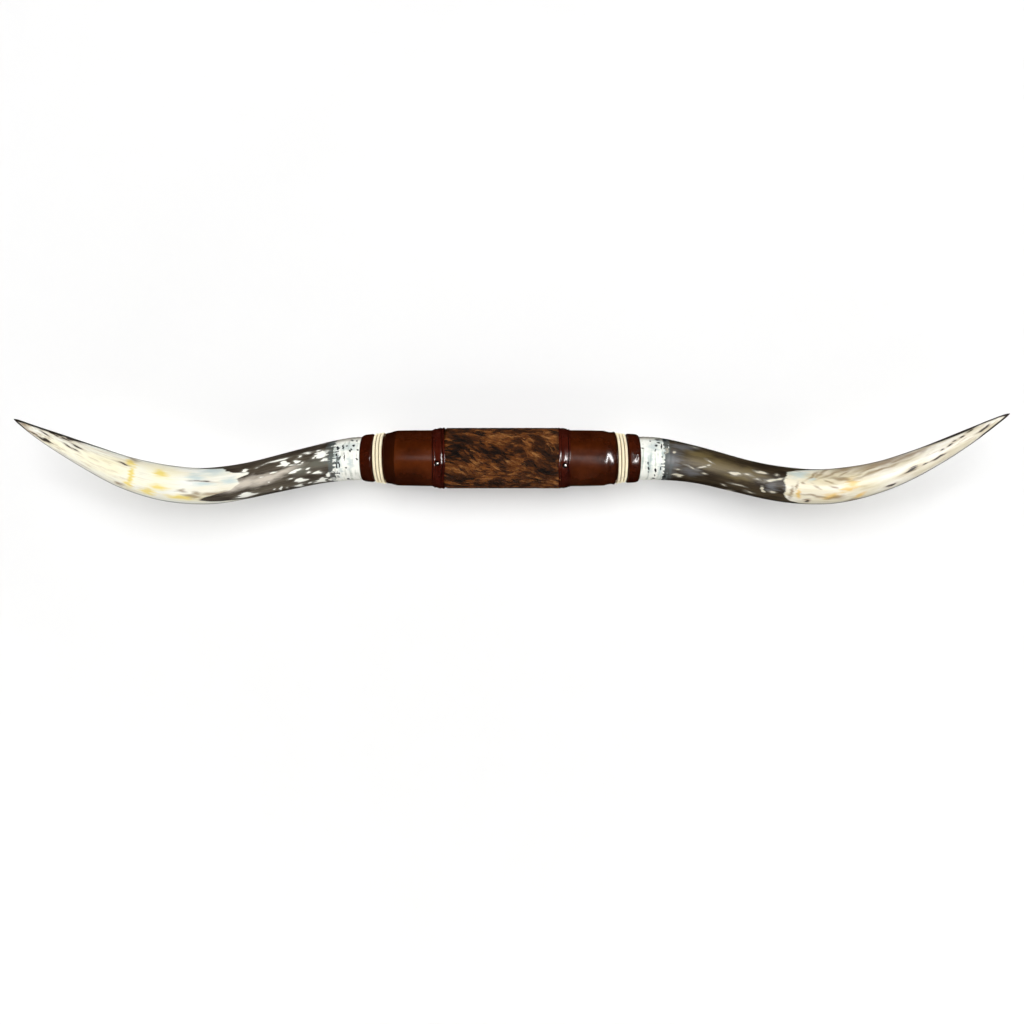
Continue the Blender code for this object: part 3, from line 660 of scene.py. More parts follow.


# Marks are placed on the photo, in its pixels: (across, down, length, height, lean in degrees).
# The dark zone ends at darkTo: (height on the horn from -1 at the bottom to 1 at the top, across)
horns = {
    "left": {
        "node": "horn_left", "slot": "left_horn", "seed": 31, "darkFrom": 293, "frayed": 0.3,
        # mm of dark along the top and bottom edges, by mm from the tip: the horn's own dark near the tip,
        # painted edge shade further in
        "topDarkAndShade": [(0, 5), (20, 3.6), (60, 3.6), (120, 2.8), (165, 1.3), (200, 0.9), (420, 0.8)],
        "underDarkAndShade": [(0, 5), (20, 3.0), (32, 1.4), (75, 0.9), (400, 0.7), (450, -2)],
        "darkTo": [
            (-1.0, 252), (-0.93, 236), (-0.86, 209), (-0.78, 198), (-0.62, 205), (-0.51, 215),
            (-0.34, 231), (-0.2, 236), (-0.1, 238), (0.03, 239), (0.2, 237), (0.34, 247), (0.44, 249),
            (0.56, 233), (0.72, 226), (0.88, 224), (0.94, 205), (1.0, 192),
        ],
        "chips": [
            (322, 454.3, 13, 7), (325.5, 460, 7, 3), (308.2, 453.1, 9, 1.6), (299, 457, 4.5, 2.4),
            (296.2, 461.2, 6, 3), (283.5, 463.7, 9, 6), (276, 461, 22, 1.8, -2), (294, 465, 15, 1.7, 8),
            (293, 471.6, 8, 3.2, -6), (299, 469.6, 7, 1.6), (307.7, 468.4, 4, 2), (307.7, 471.8, 4, 2),
            (318, 473, 10, 2.6, 8), (328.5, 474.5, 5, 4.5), (332.5, 471.5, 4, 3.5),
            (301.2, 480.1, 12, 3.6, 6), (289.3, 479, 6, 1.5), (299, 485.3, 9, 2.6), (321, 480.4, 13, 4),
            (334, 479.3, 8, 3), (280.7, 488.6, 3.4, 3.4, -30), (274.4, 489.5, 2.5, 1.5),
            (287.6, 488, 2.5, 1.2), (248.5, 494.7, 20, 4), (268.6, 482, 3.5, 1.5), (262, 477, 5, 1.2),
            (257, 467.7, 3.5, 1.2), (274, 472.6, 10, 1.7), (313, 458, 4, 1.5), (329, 450, 6, 1.2),
            (318, 450.5, 6, 1.5), (316, 455.5, 5, 2), (303, 462.5, 3, 1), (244, 471.2, 9, 3, -6),
            (310, 482.5, 4, 1.2),
        ],
        "streaks": [
            (46.2, 440.4, 15, 2.4, 0), (76, 446.0, 15, 1.5, 1), (68.5, 446.3, 12, 1.1, 6),
            (46, 434.0, 8, 0.9), (121.5, 462.9, 9, 0.6), (59, 434.5, 12, 3), (65, 438.9, 11, 1.4, -4),
            (75, 449.5, 6, 0.8, 6), (52, 433, 10, 2), (34, 433.0, 10, 0.9), (72, 439.5, 16, 1.6, -3),
            (203, 481.3, 16, 1, 4),
        ],
        "specks": [
            (357.3, 450, 2.6, 2.2), (353.9, 445.7, 2.8, 2.2), (351.2, 449.3, 2.2, 2.2),
            (349.6, 451.2, 1.8, 3.2), (340.3, 456.8, 1.7, 2.4), (356.6, 458.8, 1.9, 2.3),
            (343, 447, 1.8, 5.4), (349, 479, 5, 1.3, 28), (346, 467.9, 1.9, 1.9), (339.4, 464.6, 1.3, 6),
            (336.4, 465, 1.3, 6), (338, 448.6, 3.2, 4.4), (352.3, 440.9, 2.8, 1.3),
            (356.6, 440.8, 2, 1.1), (344.4, 457, 1.0, 10), (339.4, 473, 1.6, 2.2), (346.8, 446, 2, 1.2),
            (337, 456, 1.2, 5),
        ],
        "amber": [
            (160, 473.3, 13, 6), (131, 463.2, 10, 5), (131, 475.5, 5, 20), (158, 487.0, 16, 5),
            (129, 484.0, 8, 5), (147, 491.5, 16, 5), (180, 497.4, 22, 4),
        ],
        "brown": [
            (191, 496.0, 18, 4), (216, 493.4, 38, 4), (181, 490.8, 9, 3), (135, 460.0, 12, 3),
            (120, 484.0, 9, 3), (207, 498.5, 16, 3), (133, 459.6, 9, 3), (196, 493.6, 12, 4),
            (214, 496, 14, 3), (24, 425, 12, 4),
        ],
        "blue": [
            (214, 470, 28, 11), (229, 481, 14, 6), (205, 484, 22, 4), (230, 462, 14, 5),
            (196, 477, 16, 8), (348, 447, 20, 7), (338, 461, 6, 26), (350, 463, 5, 14), (322, 447, 14, 5),
        ],
        # painted sheen: soft pale reflections on the dark zone and a pale line under the top edge
        "paintedSheen": [
            (264, 479.5, 36, 9, -6), (242, 484, 48, 9.5, -4), (222, 489.5, 40, 6), (283, 472, 30, 5, -6),
            (312, 444.6, 44, 2.2),
        ],
        "yellow": [
            (116, 468, 90, 22), (160, 476, 40, 26), (90, 458, 40, 14), (196, 498, 50, 8),
            (60, 446, 40, 10),
        ],
        # the horn's own grey-green tint
        "greyAndSheen": [(318, 463, 24, 14), (335, 462, 12, 20), (300, 470, 20, 10)],
    },
    "right": {
        "node": "horn_right", "slot": "right_horn", "seed": 37, "darkFrom": 290, "frayed": 0.15,
        # the horn's own dark near the tip, painted edge shade further in
        "topDarkAndShade": [
            (0, 6), (15, 2.8), (55, 2.6), (70, 4.4), (118, 4.2), (150, 2.0), (200, 1.0), (420, 0.8),
        ],
        "underDarkAndShade": [(0, 6), (20, 4.0), (50, 3.6), (62, 1.4), (400, 0.8), (450, -2)],
        "darkTo": [
            (-1.0, 800), (-0.95, 797), (-0.88, 790), (-0.72, 786), (-0.5, 784), (-0.3, 786), (0.1, 785),
            (0.25, 784), (0.45, 786), (0.6, 787), (0.74, 788), (0.85, 796), (0.93, 806), (0.97, 818),
            (1.0, 830),
        ],
        "chips": [
            (676.7, 475.3, 8, 3.2), (678.5, 468.9, 5, 1.4), (691.8, 468, 8, 1.2, 12),
            (703, 466.8, 10, 1.5, -28), (708.8, 465.4, 3, 1.5), (710.6, 461.7, 6, 1.4, 14),
            (694.2, 447.4, 6, 1.3), (705, 474, 4, 1.1), (736.6, 474.4, 9.5, 3.2),
            (748, 474.7, 8, 1.7, -4), (761.5, 472.4, 12, 3.2), (777, 474.7, 3.5, 1.5),
            (773.6, 480.1, 16, 2.4, -16), (762, 488, 5, 5, 40), (771.5, 491.9, 9, 1.8),
            (749.3, 491.9, 7, 1.2), (723.5, 485, 4, 1.6), (736, 484.6, 10, 1.3), (730.6, 491, 5, 1.2),
            (674.2, 452.3, 3, 3), (664.7, 462, 2.2, 2.2), (666.5, 450.5, 5, 6), (756, 471, 5, 1.2),
            (757, 479, 4, 1), (781, 478.5, 7, 1.6, -14),
        ],
        "streaks": [
            (909, 471.2, 17, 2.2, -4), (914, 466.8, 10, 1.2, 2), (938.5, 457.2, 15, 1.3, -3),
            (942.8, 449.2, 5, 1.5), (951.4, 444.5, 6, 1.1), (961.8, 436.9, 5, 1.6),
            (970.5, 430.9, 7, 1.7), (983.5, 429.2, 14, 1.9, -3), (893, 484, 8, 1.2), (889, 485.6, 6, 1.1),
            (807.3, 501.2, 4, 1.6), (955, 441, 6, 1.1), (927, 463.0, 6, 1.1),
        ],
        "specks": [
            (658.0, 439.9, 5, 1.7), (658.4, 443.2, 2.8, 1.7), (656.4, 445.8, 3.2, 1.5, 14),
            (664, 440.5, 4, 2), (642.3, 448.6, 3.4, 1.3, -12), (648.4, 463.2, 1.7, 3.2),
            (648.4, 467.6, 1.8, 3.6), (655.2, 470.7, 2.1, 4.4), (654.4, 475, 1.3, 3),
            (653.1, 478.2, 3, 1.5), (655.4, 449.8, 1.4, 4), (661.5, 446, 1.4, 5), (662.5, 457, 1.2, 3),
            (660.5, 468, 1.3, 4), (664, 476.5, 3, 1.6), (650.4, 441, 1.8, 1.2), (648.3, 471.5, 1.1, 3),
        ],
        "amber": [
            (852, 484, 12, 10), (847, 489.5, 12, 5), (831.5, 496, 16, 5), (799, 493.8, 4, 8),
            (860, 495, 12, 3, -14),
        ],
        "brown": [
            (791.5, 492, 4, 12, 8), (812, 476, 17, 2.6, -38), (823, 472, 18, 3.4, -30),
            (836, 497.5, 18, 4), (884, 462.0, 70, 6), (906, 456.5, 50, 4), (850, 466, 40, 8, -8),
            (817, 487, 10, 2.4, 30), (803, 483, 4, 2), (842, 479, 26, 3, 16), (832, 474, 30, 2.6, -14),
            (816, 496, 26, 2.4, 6), (880, 470, 60, 3, -4), (868, 463.5, 40, 6), (845, 473, 16, 2.4, -24),
            (868, 470, 22, 2.4, -10), (829, 482, 12, 2.2, 22), (797, 486, 3, 8, 10),
            (835, 488, 10, 2, 20), (806, 500, 10, 2.4), (855, 500, 20, 3), (822, 462.5, 3, 2),
            (795, 471, 8, 1.6),
        ],
        "blue": [
            (797, 474, 20, 8), (806, 469, 18, 5), (812, 479, 8, 4, -30), (650, 462, 6, 24),
            (654, 447, 10, 10), (660, 470, 5, 16), (664, 451, 5, 14), (658, 441, 12, 5),
        ],
        # painted sheen: soft reflections on the dark zone
        "paintedSheen": [(716, 465, 62, 13), (745, 473, 44, 10), (700, 455, 30, 7), (738, 477, 30, 7)],
        "yellow": [(856, 484, 50, 16), (828, 494, 50, 10), (812, 478, 16, 8), (818, 485, 72, 44)],
        # partly painted sheen: the grey band near the root and the greyish patch under the top edge are
        # painted reflections, the rest is the horn's own grey
        "greyAndSheen": [
            (673, 462, 15, 26), (682, 447.5, 24, 6), (771, 488, 12, 9), (786, 488, 8, 9),
            (690, 472, 20, 8),
        ],
    },
}


# Cattle horn, sanded and buffed: layered keratin, nearly black where it is clear and milky where it
# is white, with long fibres, fine growth rings at the root and a soft even gloss
def makeHornMaterial(name, dark, pale, root, paintedSheen, amber, chip, greyAndSheen, yellow):
    material, shader = startMaterial(name)
    fields = {
        key: addNode(material, "Attribute", attribute_name=key).outputs["Fac"]
        for key in (
            "darkZone", "rootZone", "chips", "streaks", "specks", "amber", "yellow", "brown", "blue",
            "paintedSheen", "greyAndSheen", "edgeShadeAndDark", "tipness", "rootTopShade",
        )
    }
    grain = addNode(material, "Attribute", attribute_name="grain").outputs["Vector"]
    fibre = addNode(material, "Mapping", {"Vector": grain, "Scale": (0.16, 1.0, 1.0)})
    longFibre = addNode(material, "Mapping", {"Vector": grain, "Scale": (0.045, 1.0, 1.0)})
    ringWay = addNode(material, "Mapping", {"Vector": grain, "Scale": (1.0, 0.12, 0.12)})
    clouds = addNode(
        material, "TexNoise", {"Vector": fibre, "Scale": 1 / 0.016, "Detail": 4, "Distortion": 0.5}
    )
    threads = addNode(
        material, "TexNoise", {"Vector": longFibre, "Scale": 1 / 0.0035, "Detail": 5, "Roughness": 0.65}
    )
    ragged = addNode(
        material, "TexNoise", {"Vector": fibre, "Scale": 1 / 0.0042, "Detail": 6, "Roughness": 0.72}
    )
    rings = addNode(material, "TexNoise", {"Vector": ringWay, "Scale": 1 / 0.005, "Detail": 5})

    tones = {}  # each zone's own colour follows the clouds, the fibres and the growth rings
    for key, share, detail, stops in (
        ("dark", 0.45, threads, dark), ("pale", 0.30, threads, pale), ("root", 0.62, rings, root),
    ):
        tone = addNode(material, "Mix", {"Factor": share, "A": clouds, "B": detail}, data_type="FLOAT")
        tones[key] = addNode(material, "ValToRGB", {"Fac": tone}, stops=stops)

    shifted = addNode(material, "Math", {0: ragged, 1: -0.5}, operation="ADD")
    ringShift = addNode(material, "Math", {0: rings, 1: -0.5}, operation="ADD")
    banded = addNode(
        material, "Math", {0: ringShift, 1: 34.0, 2: fields["rootZone"]}, operation="MULTIPLY_ADD"
    )
    fields["rootEdge"] = banded
    fields["rootShade"] = addNode(material, "Math", {0: banded, 1: -9.0}, operation="ADD")
    fields["tipThreads"] = addNode(
        material, "Math", {0: addNode(
            material, "MapRange", {"Value": threads, "From Min": 0.50, "From Max": 0.66}, clamp=True
        ), 1: fields["tipness"]}, operation="MULTIPLY",
    )

    masks = {}  # name: (field, raggedness, where it starts, where it is full, most that it covers)
    for key, (field, wobble, start, full, most) in {
        "yellow": ("yellow", 0.8, 0.20, 1.10, 0.50),
        "amber": ("amber", 0.9, 0.15, 0.85, 0.85),
        "fringe": ("chips", 4.6, 1.7, -0.3, 0.55),
        "blue": ("blue", 0.9, 0.15, 1.0, 0.75),
        "brown": ("brown", 0.9, 0.20, 1.0, 0.80),
        "tipThreads": ("tipThreads", 0.0, 0.0, 1.0, 1.0),
        "smudge": ("streaks", 2.6, 1.9, -0.2, 0.45),
        "streaks": ("streaks", 2.6, 0.5, -0.5, 0.94),
        "paintedSheen": ("paintedSheen", 0.9, 0.20, 0.90, 0.80),
        "greyAndSheen": ("greyAndSheen", 0.9, 0.25, 0.95, 0.65),
        "dark": ("darkZone", 10.0, 1.6, -1.6, 1.0),
        "chips": ("chips", 4.6, 0.0, -0.75, 1.0),
        "rootShade": ("rootShade", 16.0, 6.0, -6.0, 0.70),
        "rootBlue": ("blue", 0.9, 0.2, 1.0, 0.55),
        "rootTopShade": ("rootTopShade", 0.9, 0.2, 0.9, 0.72),
        "root": ("rootEdge", 18.0, 1.2, -1.2, 1.0),
        "specks": ("specks", 2.2, 0.4, -0.4, 1.0),
        "edgeShade": ("edgeShadeAndDark", 2.6, 1.0, -1.0, 1.0),
    }.items():
        moved = addNode(
            material, "Math", {0: shifted, 1: wobble, 2: fields[field]}, operation="MULTIPLY_ADD"
        )
        masks[key] = addNode(
            material, "MapRange", {"Value": moved, "From Min": start, "From Max": full, "To Max": most},
            clamp=True,
        )

    # the dark zone's top layers are a painted sheen, the root's top layer a painted shade under its top
    # edge, and the pale zone's last layer a painted shade along the edges over the horn's own dark near the
    # tip
    layers = {  # what lies over each zone's own colour, from the bottom up
        "dark": [("paintedSheen", paintedSheen), ("greyAndSheen", greyAndSheen)],
        "root": [("rootBlue", "#93A9AE"), ("rootTopShade", "#8A8272")],
        "pale": [
            ("yellow", yellow), ("amber", amber), ("blue", "#B3C6C8"), ("brown", "#7E6440"),
            ("tipThreads", "#A98C60"), ("smudge", "#8A6A46"), ("streaks", "#1E140D"), ("dark", None),
            ("fringe", "#8F8B80"), ("chips", chip), ("rootShade", "#5C6666"), ("root", None),
            ("specks", "#1B1F23"), ("edgeShade", "#20150E"),
        ],
    }
    for zone, tints in layers.items():
        colour = tones[zone]
        for key, tint in tints:
            over = tint or tones[key]
            mixed = {"Factor": masks[key], "A": colour, "B": over}
            colour = addNode(material, "Mix", mixed, data_type="RGBA").outputs[2]
        tones[zone] = colour
    ridge = addNode(material, "Bump", {"Strength": 0.10, "Distance": 0.0008, "Height": rings})
    bump = addNode(
        material, "Bump", {"Strength": 0.08, "Distance": 0.0004, "Height": threads, "Normal": ridge}
    )
    rough = addNode(
        material, "MapRange",
        {"Value": clouds, "From Min": 0.3, "From Max": 0.7, "To Min": 0.36, "To Max": 0.46},
    )
    plug(material, shader, {
        "Base Color": tones["pale"], "Roughness": rough, "Normal": bump, "IOR": 1.54,
        "Specular IOR Level": 0.3,
    })
    return material


hornLooks = {
    "left": {
        "dark": [(0.30, "#1A1510"), (0.46, "#3A3229"), (0.60, "#585043"), (0.74, "#7E7666")],
        "pale": [(0.28, "#DCD3B9"), (0.42, "#E8E4D2"), (0.56, "#ECECE3"), (0.74, "#E6E9E6")],
        "root": [
            (0.30, "#66726F"), (0.40, "#BDC1B6"), (0.50, "#F1F1E8"), (0.66, "#E6E9E2"), (0.78, "#A3B3B4"),
        ],
        "paintedSheen": "#D6CCBD", "amber": "#E3CC60", "chip": "#F0F0E6", "greyAndSheen": "#63645A",
        "yellow": "#F3EABA",
    },
    "right": {
        "dark": [(0.30, "#140F0A"), (0.46, "#2E2417"), (0.60, "#463A27"), (0.74, "#5A5241")],
        "pale": [(0.30, "#B09F7A"), (0.42, "#D8D0B8"), (0.56, "#EDE9DD"), (0.74, "#EAE9E4")],
        "root": [
            (0.30, "#6C7F80"), (0.40, "#C3C9BE"), (0.50, "#F3F3EA"), (0.66, "#E9EBE2"), (0.78, "#A9BBBE"),
        ],
        "paintedSheen": "#6A5C3A", "amber": "#DDB65E", "chip": "#C6BFAB", "greyAndSheen": "#6A6B6E",
        "yellow": "#D3C79E",
    },
}

# Marks on the back of each horn, in mm
scattered = {
    "chips": {"count": 30, "out": (300, 470), "length": (6, 26), "height": (2, 7)},
    "streaks": {"count": 12, "out": (640, 860), "length": (10, 34), "height": (1.5, 4)},
    "specks": {"count": 14, "out": (252, 292), "length": (2, 5), "height": (2, 5)},
}
for name, settings in horns.items():
    side, node, seed = sideOf[name], settings["node"], settings["seed"]
    horn = drawHorn(f"polished_horn_{name}", node, side, rootOut=236)  # it starts hidden in the cuff
    spot = readHorn(horn, node, side)
    out, angle, level = spot["out"], spot["angle"], spot["level"]
    tipOut = out.max()
    heights, ends = zip(*settings["darkTo"])
    front = np.interp(level, heights, ends)
    back = ends[0] + (ends[-1] - ends[0]) * (level + 1) / 2
    back += side * 12 * (1 - level ** 2) * np.sin(3 * level + seed)
    darkTo = np.where(spot["facing"] > 0, front, back)
    addField(horn, "grain", spot["grain"])
    beyond = (side * (spot["across"] - darkTo) + settings["frayed"] * spot["fray"]) * pixel
    addField(horn, "darkZone", np.maximum(beyond, settings["darkFrom"] - 14 - out))
    addField(horn, "rootZone", out - settings["darkFrom"] + 0.9 * spot["fray"] * pixel)
    for number, (key, back) in enumerate(scattered.items()):
        marks = np.minimum(nearestMark(spot, settings[key]), scatterMarks(spot, back, seed + number))
        addField(horn, key, marks)
    for key in ("amber", "yellow", "brown", "blue", "paintedSheen", "greyAndSheen"):
        addField(horn, key, softWash(spot, settings[key]))
    # painted shade: a dark line along the top and bottom edges on the side towards the camera, over the
    # horn's own dark near the tip
    fromTip = tipOut - out
    topGap = (1 - level) * spot["height"] / 2 * pixel
    topGap -= np.interp(fromTip, *zip(*settings["topDarkAndShade"]))
    # painted shade: grey under the top edge, laid over the root zone
    addField(horn, "rootTopShade", np.clip(1.3 - (1 - level) * spot["height"] / 7, 0, 1))
    underGap = (1 + level) * spot["height"] / 2 * pixel
    underGap -= np.interp(fromTip, *zip(*settings["underDarkAndShade"]))
    behind = np.where(spot["facing"] > -0.25, 0, 6)
    addField(horn, "edgeShadeAndDark", np.minimum(topGap, underGap) + behind)
    addField(horn, "tipness", np.interp(fromTip, [0, 60, 190, 260], [0.8, 0.65, 0.35, 0.12]))
    points = readPoints(horn)
    rootShare = np.clip((345 - out) / 90, 0, 1)  # growth rings stand up near the root
    ripple = np.sin(out / 1.45 + 0.6 * np.sin(out / 6)) * 0.16 * rootShare
    swell = 0.25 * np.sin(out / 31 + angle) + 0.15 * np.sin(out / 17 + 2 * angle + 1)
    keep = np.clip((tipOut - out) / 120, 0, 1) * np.clip((out - 250) / 25, 0, 1)
    push = (ripple + swell * keep)[:, None] * mm
    outward = np.stack([np.zeros_like(out), -np.cos(angle), np.sin(angle)], axis=1)
    writePoints(horn, points + outward * push)
    setMaterial(horn, makeHornMaterial(f"cattle horn, buffed, {name}", **hornLooks[name]))
    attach(horn, "root")
    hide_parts(node)
say("horns drawn")


# Hide panel: hair-on brindle cowhide. Patches are (mm along, mm up, half length, half height,
# slope in degrees, darker below 0 or lighter above 0)
hide = {
    "left": -101.0, "right": 105.0, "skinDrop": 2.2, "skinInner": 44,
    "pieces": 4, "tuftsPerPiece": 17000, "length": (9, 17), "width": (0.8, 1.5), "lift": (1.0, 2.3),
    "locks": 4200, "lockContrast": 0.21, "drawnTo": 15,  # mm past the lock's middle, where its hairs meet
    # share of the hair's length, of its lift, of its width, and how much lighter it is there: darker at the
    # root as painted shade
    "hair": [(0.0, -0.25, 0.55, -0.16), (0.45, 0.85, 1.0, 0.0), (1.0, 1.0, 0.0, 0.07)],
    "patches": [
        (-72, 32, 26, 12, 0, -0.40), (-79, 8, 15, 9, 0, -0.26), (-20, 14, 30, 5, -12, -0.24),
        (-12, -6, 23, 6, -30, -0.30), (59, -10, 28, 6, -38, -0.34), (87, 8, 15, 15, 0, -0.34),
        (60, 34, 10, 8, -50, -0.30), (-69, -34, 22, 6, 10, -0.34), (-19, -44, 16, 5, 0, -0.34),
        (17, -42, 14, 5, 0, -0.26), (55, -37, 12, 4, 0, -0.26), (40, -23, 9, 4, 0, -0.26),
        (74, -25, 12, 6, -20, -0.26), (26, 15, 6, 5, 0, -0.24), (-86, 22, 13, 9, 0, -0.26),
        (-3, 1, 7, 5, 0, -0.20), (-5, 35, 32, 8, 0, 0.20), (45, 20, 11, 7, 0, 0.22),
        (-57, -3, 17, 14, -45, 0.18), (-88, -16, 13, 6, 0, 0.24), (-34, -27, 28, 9, -12, 0.22),
        (17, -9, 19, 12, 0, 0.16), (52, 6, 11, 7, 0, 0.20), (88, -37, 11, 9, 0, 0.16),
        (81, 35, 13, 7, 0, 0.10), (15, -30, 25, 5, 0, 0.14),
    ],
    "lies": [  # (mm along, mm up, half size, turn of the hair in degrees)
        (-57, -4, 22, -34), (-20, 18, 26, -10), (-5, 38, 30, 12), (45, 22, 14, -35), (62, -8, 16, -34),
        (80, -25, 14, 38), (84, 20, 14, -40), (-30, -36, 30, 6), (20, -36, 24, 10), (-86, 20, 14, 10),
    ],
}


def onHide(x, angle):  # mm along, mm up, whether it is on the front, and the place
    return x / mm, np.sin(angle) * hideRadius / mm, np.cos(angle) > 0, fromRound(x, angle, hideRadius)


def hairLie(x, angle):  # radians up from +x, on the flattened hide
    along, up, front, points = onHide(x, angle)
    turn = np.full(len(x), -13.0)
    for place, height, size, degrees in hide["lies"]:
        turn += degrees * hill(np.hypot(along - place, up - height), size) * front
    turn += 30 * smallNoise(points, 1 / 0.030, 2) + 22 * smallNoise(points, 1 / 0.011, 5)
    return np.radians(turn)


def brindle(x, angle):  # 0 black-brown to 1 tan
    along, up, front, points = onHide(x, angle)
    tone = np.full(len(x), 0.50)
    for place, height, halfLength, halfHeight, slope, strength in hide["patches"]:
        u, v = leaning(along - place, up - height, math.radians(slope))
        tone += strength * hill(np.hypot(u / halfLength, v / halfHeight), 1.0) * front
    stretched = points * np.array([0.35, 1.0, 1.0])
    tone += (0.22 + 0.35 * ~front) * smallNoise(stretched, 1 / 0.008, 9)
    tone -= 0.18 * np.clip((up - 44) / 8, 0, 1) + 0.05 * np.clip((-up - 44) / 8, 0, 1)
    return tone


def makeHide(name):  # short glossy hair: dark brown guard hair with tan and orange streaks
    material, shader = startMaterial(name)
    tone = addNode(material, "Attribute", attribute_name="brindle").outputs["Fac"]
    colour = addNode(material, "ValToRGB", {"Fac": tone}, stops=[
        (0.0, "#080403"), (0.22, "#190C05"), (0.42, "#3A1D0A"), (0.62, "#643612"), (0.82, "#875023"),
        (1.0, "#A46E3C"),
    ])
    plug(material, shader, {"Base Color": colour, "Roughness": 0.5, "Specular IOR Level": 0.15})
    return material


hairMaterial = makeHide("brindle cow hair")
skinRadius = hideRadius - hide["skinDrop"] * mm
skinProfile = [(out, skinRadius / mm) for out in (hide["left"], -60, 0, 60, hide["right"])]
skinProfile += [(out, hide["skinInner"]) for out in (hide["right"], 0, hide["left"])]
skin, x, angle, _ = turnPiece("hide_skin", 1, skinProfile)
addField(skin, "brindle", np.clip(brindle(x, angle) * 0.5, 0, 1))
setMaterial(skin, hairMaterial)
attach(skin, "root")
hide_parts("hide_panel")

# Hairs gather in locks: each lock has its own colour, and draws its hairs together at the tip
lockX = rng.uniform(hide["left"], hide["right"], hide["locks"]) * mm
lockAngle = rng.uniform(-math.pi, math.pi, hide["locks"])
lockLie = hairLie(lockX, lockAngle)
lockTone = brindle(lockX, lockAngle) + rng.normal(0, hide["lockContrast"], hide["locks"])
lockRise = rng.uniform(0, 1, hide["locks"])
lockTree = buildTree(np.stack([lockX, lockAngle * hideRadius, np.zeros(len(lockX))], axis=1))


def chooseLock(x, angle):  # the lock that each hair belongs to: locks are long and narrow
    chosen = np.zeros(len(x), dtype=int)
    for number, place in enumerate(zip(x.tolist(), (angle * hideRadius).tolist())):
        best = 1e9
        for spot, lock, _ in lockTree.find_n((*place, 0), 7):
            along, beside = leaning(place[0] - spot[0], place[1] - spot[1], lockLie[lock])
            reach = (along / 6) ** 2 + (beside / 1.1) ** 2
            if reach < best:
                best, chosen[number] = reach, lock
    return chosen


def growTufts(name, left, right, count):  # closed, tapered hairs of seven points that lie along the coat
    x = rng.uniform(left, right, count) * mm
    angle = rng.uniform(-math.pi, math.pi, count)
    lock = chooseLock(x, angle)
    lie = lockLie[lock]
    tipX = lockX[lock] + np.cos(lie) * hide["drawnTo"] * mm
    tipAround = lockAngle[lock] * hideRadius + np.sin(lie) * hide["drawnTo"] * mm
    gather = np.arctan2(tipAround - angle * hideRadius, tipX - x)
    swing = np.clip((gather - lie + math.pi) % (2 * math.pi) - math.pi, -0.35, 0.35)
    lie = lie + swing * 0.8 + rng.normal(0, 0.09, count)
    tone = lockTone[lock] + rng.normal(0, 0.06, count)
    length = rng.uniform(*hide["length"], count) * mm
    width = rng.uniform(*hide["width"], count) * mm
    low, high = hide["lift"]
    lift = (low + (high - low) * (0.6 * lockRise[lock] + 0.4 * rng.uniform(0, 1, count))) * mm
    room = (hide["right"] + 1.5) * mm - x
    length = np.minimum(length, np.maximum(room / np.maximum(np.cos(lie), 0.2), 2 * mm))
    curl = rng.normal(0, 0.15, count)
    rows, tones = [], []
    for share, height, wide, shade in hide["hair"]:
        bend = lie + curl * share
        px = x + np.cos(bend) * length * share
        pa = angle + np.sin(bend) * length * share / hideRadius
        radius = skinRadius + lift * height
        sideX, sideA = -np.sin(bend) * width * wide / 2, np.cos(bend) * width * wide / 2 / hideRadius
        if wide:
            rows.append(fromRound(px - sideX, pa - sideA, radius))
            rows.append(fromRound(px, pa, radius + width * wide * 0.28))
            rows.append(fromRound(px + sideX, pa + sideA, radius))
        else:
            rows.append(fromRound(px, pa, radius))
        # painted shade darkens each hair towards its root
        tones += [tone + shade] * (3 if wide else 1)
    points = np.stack(rows, axis=1).reshape(-1, 3)
    pattern = [(0, 1, 4, 3), (1, 2, 5, 4), (2, 0, 3, 5), (3, 4, 6), (4, 5, 6), (5, 3, 6), (2, 1, 0)]
    corners = np.concatenate([np.array(face) for face in pattern])
    loops = (np.arange(count)[:, None] * 7 + corners[None, :]).ravel()
    sizes = np.tile([len(face) for face in pattern], count)
    mesh = bpy.data.meshes.new(name)
    mesh.vertices.add(len(points))
    mesh.vertices.foreach_set("co", points.ravel())
    mesh.loops.add(len(loops))
    mesh.loops.foreach_set("vertex_index", loops.astype(np.int32))
    mesh.polygons.add(len(sizes))
    starts = np.concatenate([[0], np.cumsum(sizes)[:-1]])
    mesh.polygons.foreach_set("loop_start", starts.astype(np.int32))
    mesh.update(calc_edges=True)
    mesh.shade_smooth()
    obj = addObject(name, mesh)
    addField(obj, "brindle", np.clip(np.stack(tones, axis=1).ravel(), 0, 1))
    bake = mesh.uv_layers.new(name="OFBake")  # each hair is a small patch at its root's place
    u = 0.02 + 0.96 * (x / mm - hide["left"]) / (hide["right"] - hide["left"])
    v = 0.02 + 0.96 * (angle / (2 * math.pi) + 0.5)
    corner = np.array([(0, 0), (0.5, 0), (1, 0), (0, 0.6), (0.5, 0.6), (1, 0.6), (0.5, 1)]) * 0.003
    patch = (np.stack([u, v], axis=1)[:, None, :] + corner[None, :, :]).reshape(-1, 2)
    bake.data.foreach_set("uv", patch[loops].ravel())
    setMaterial(obj, hairMaterial)
    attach(obj, "root")


edges = np.linspace(hide["left"], hide["right"], hide["pieces"] + 1)
for number, (left, right) in enumerate(zip(edges, edges[1:]), 1):
    growTufts(f"hide_hair_{number}", left, right, hide["tuftsPerPiece"])
say("hide grown")


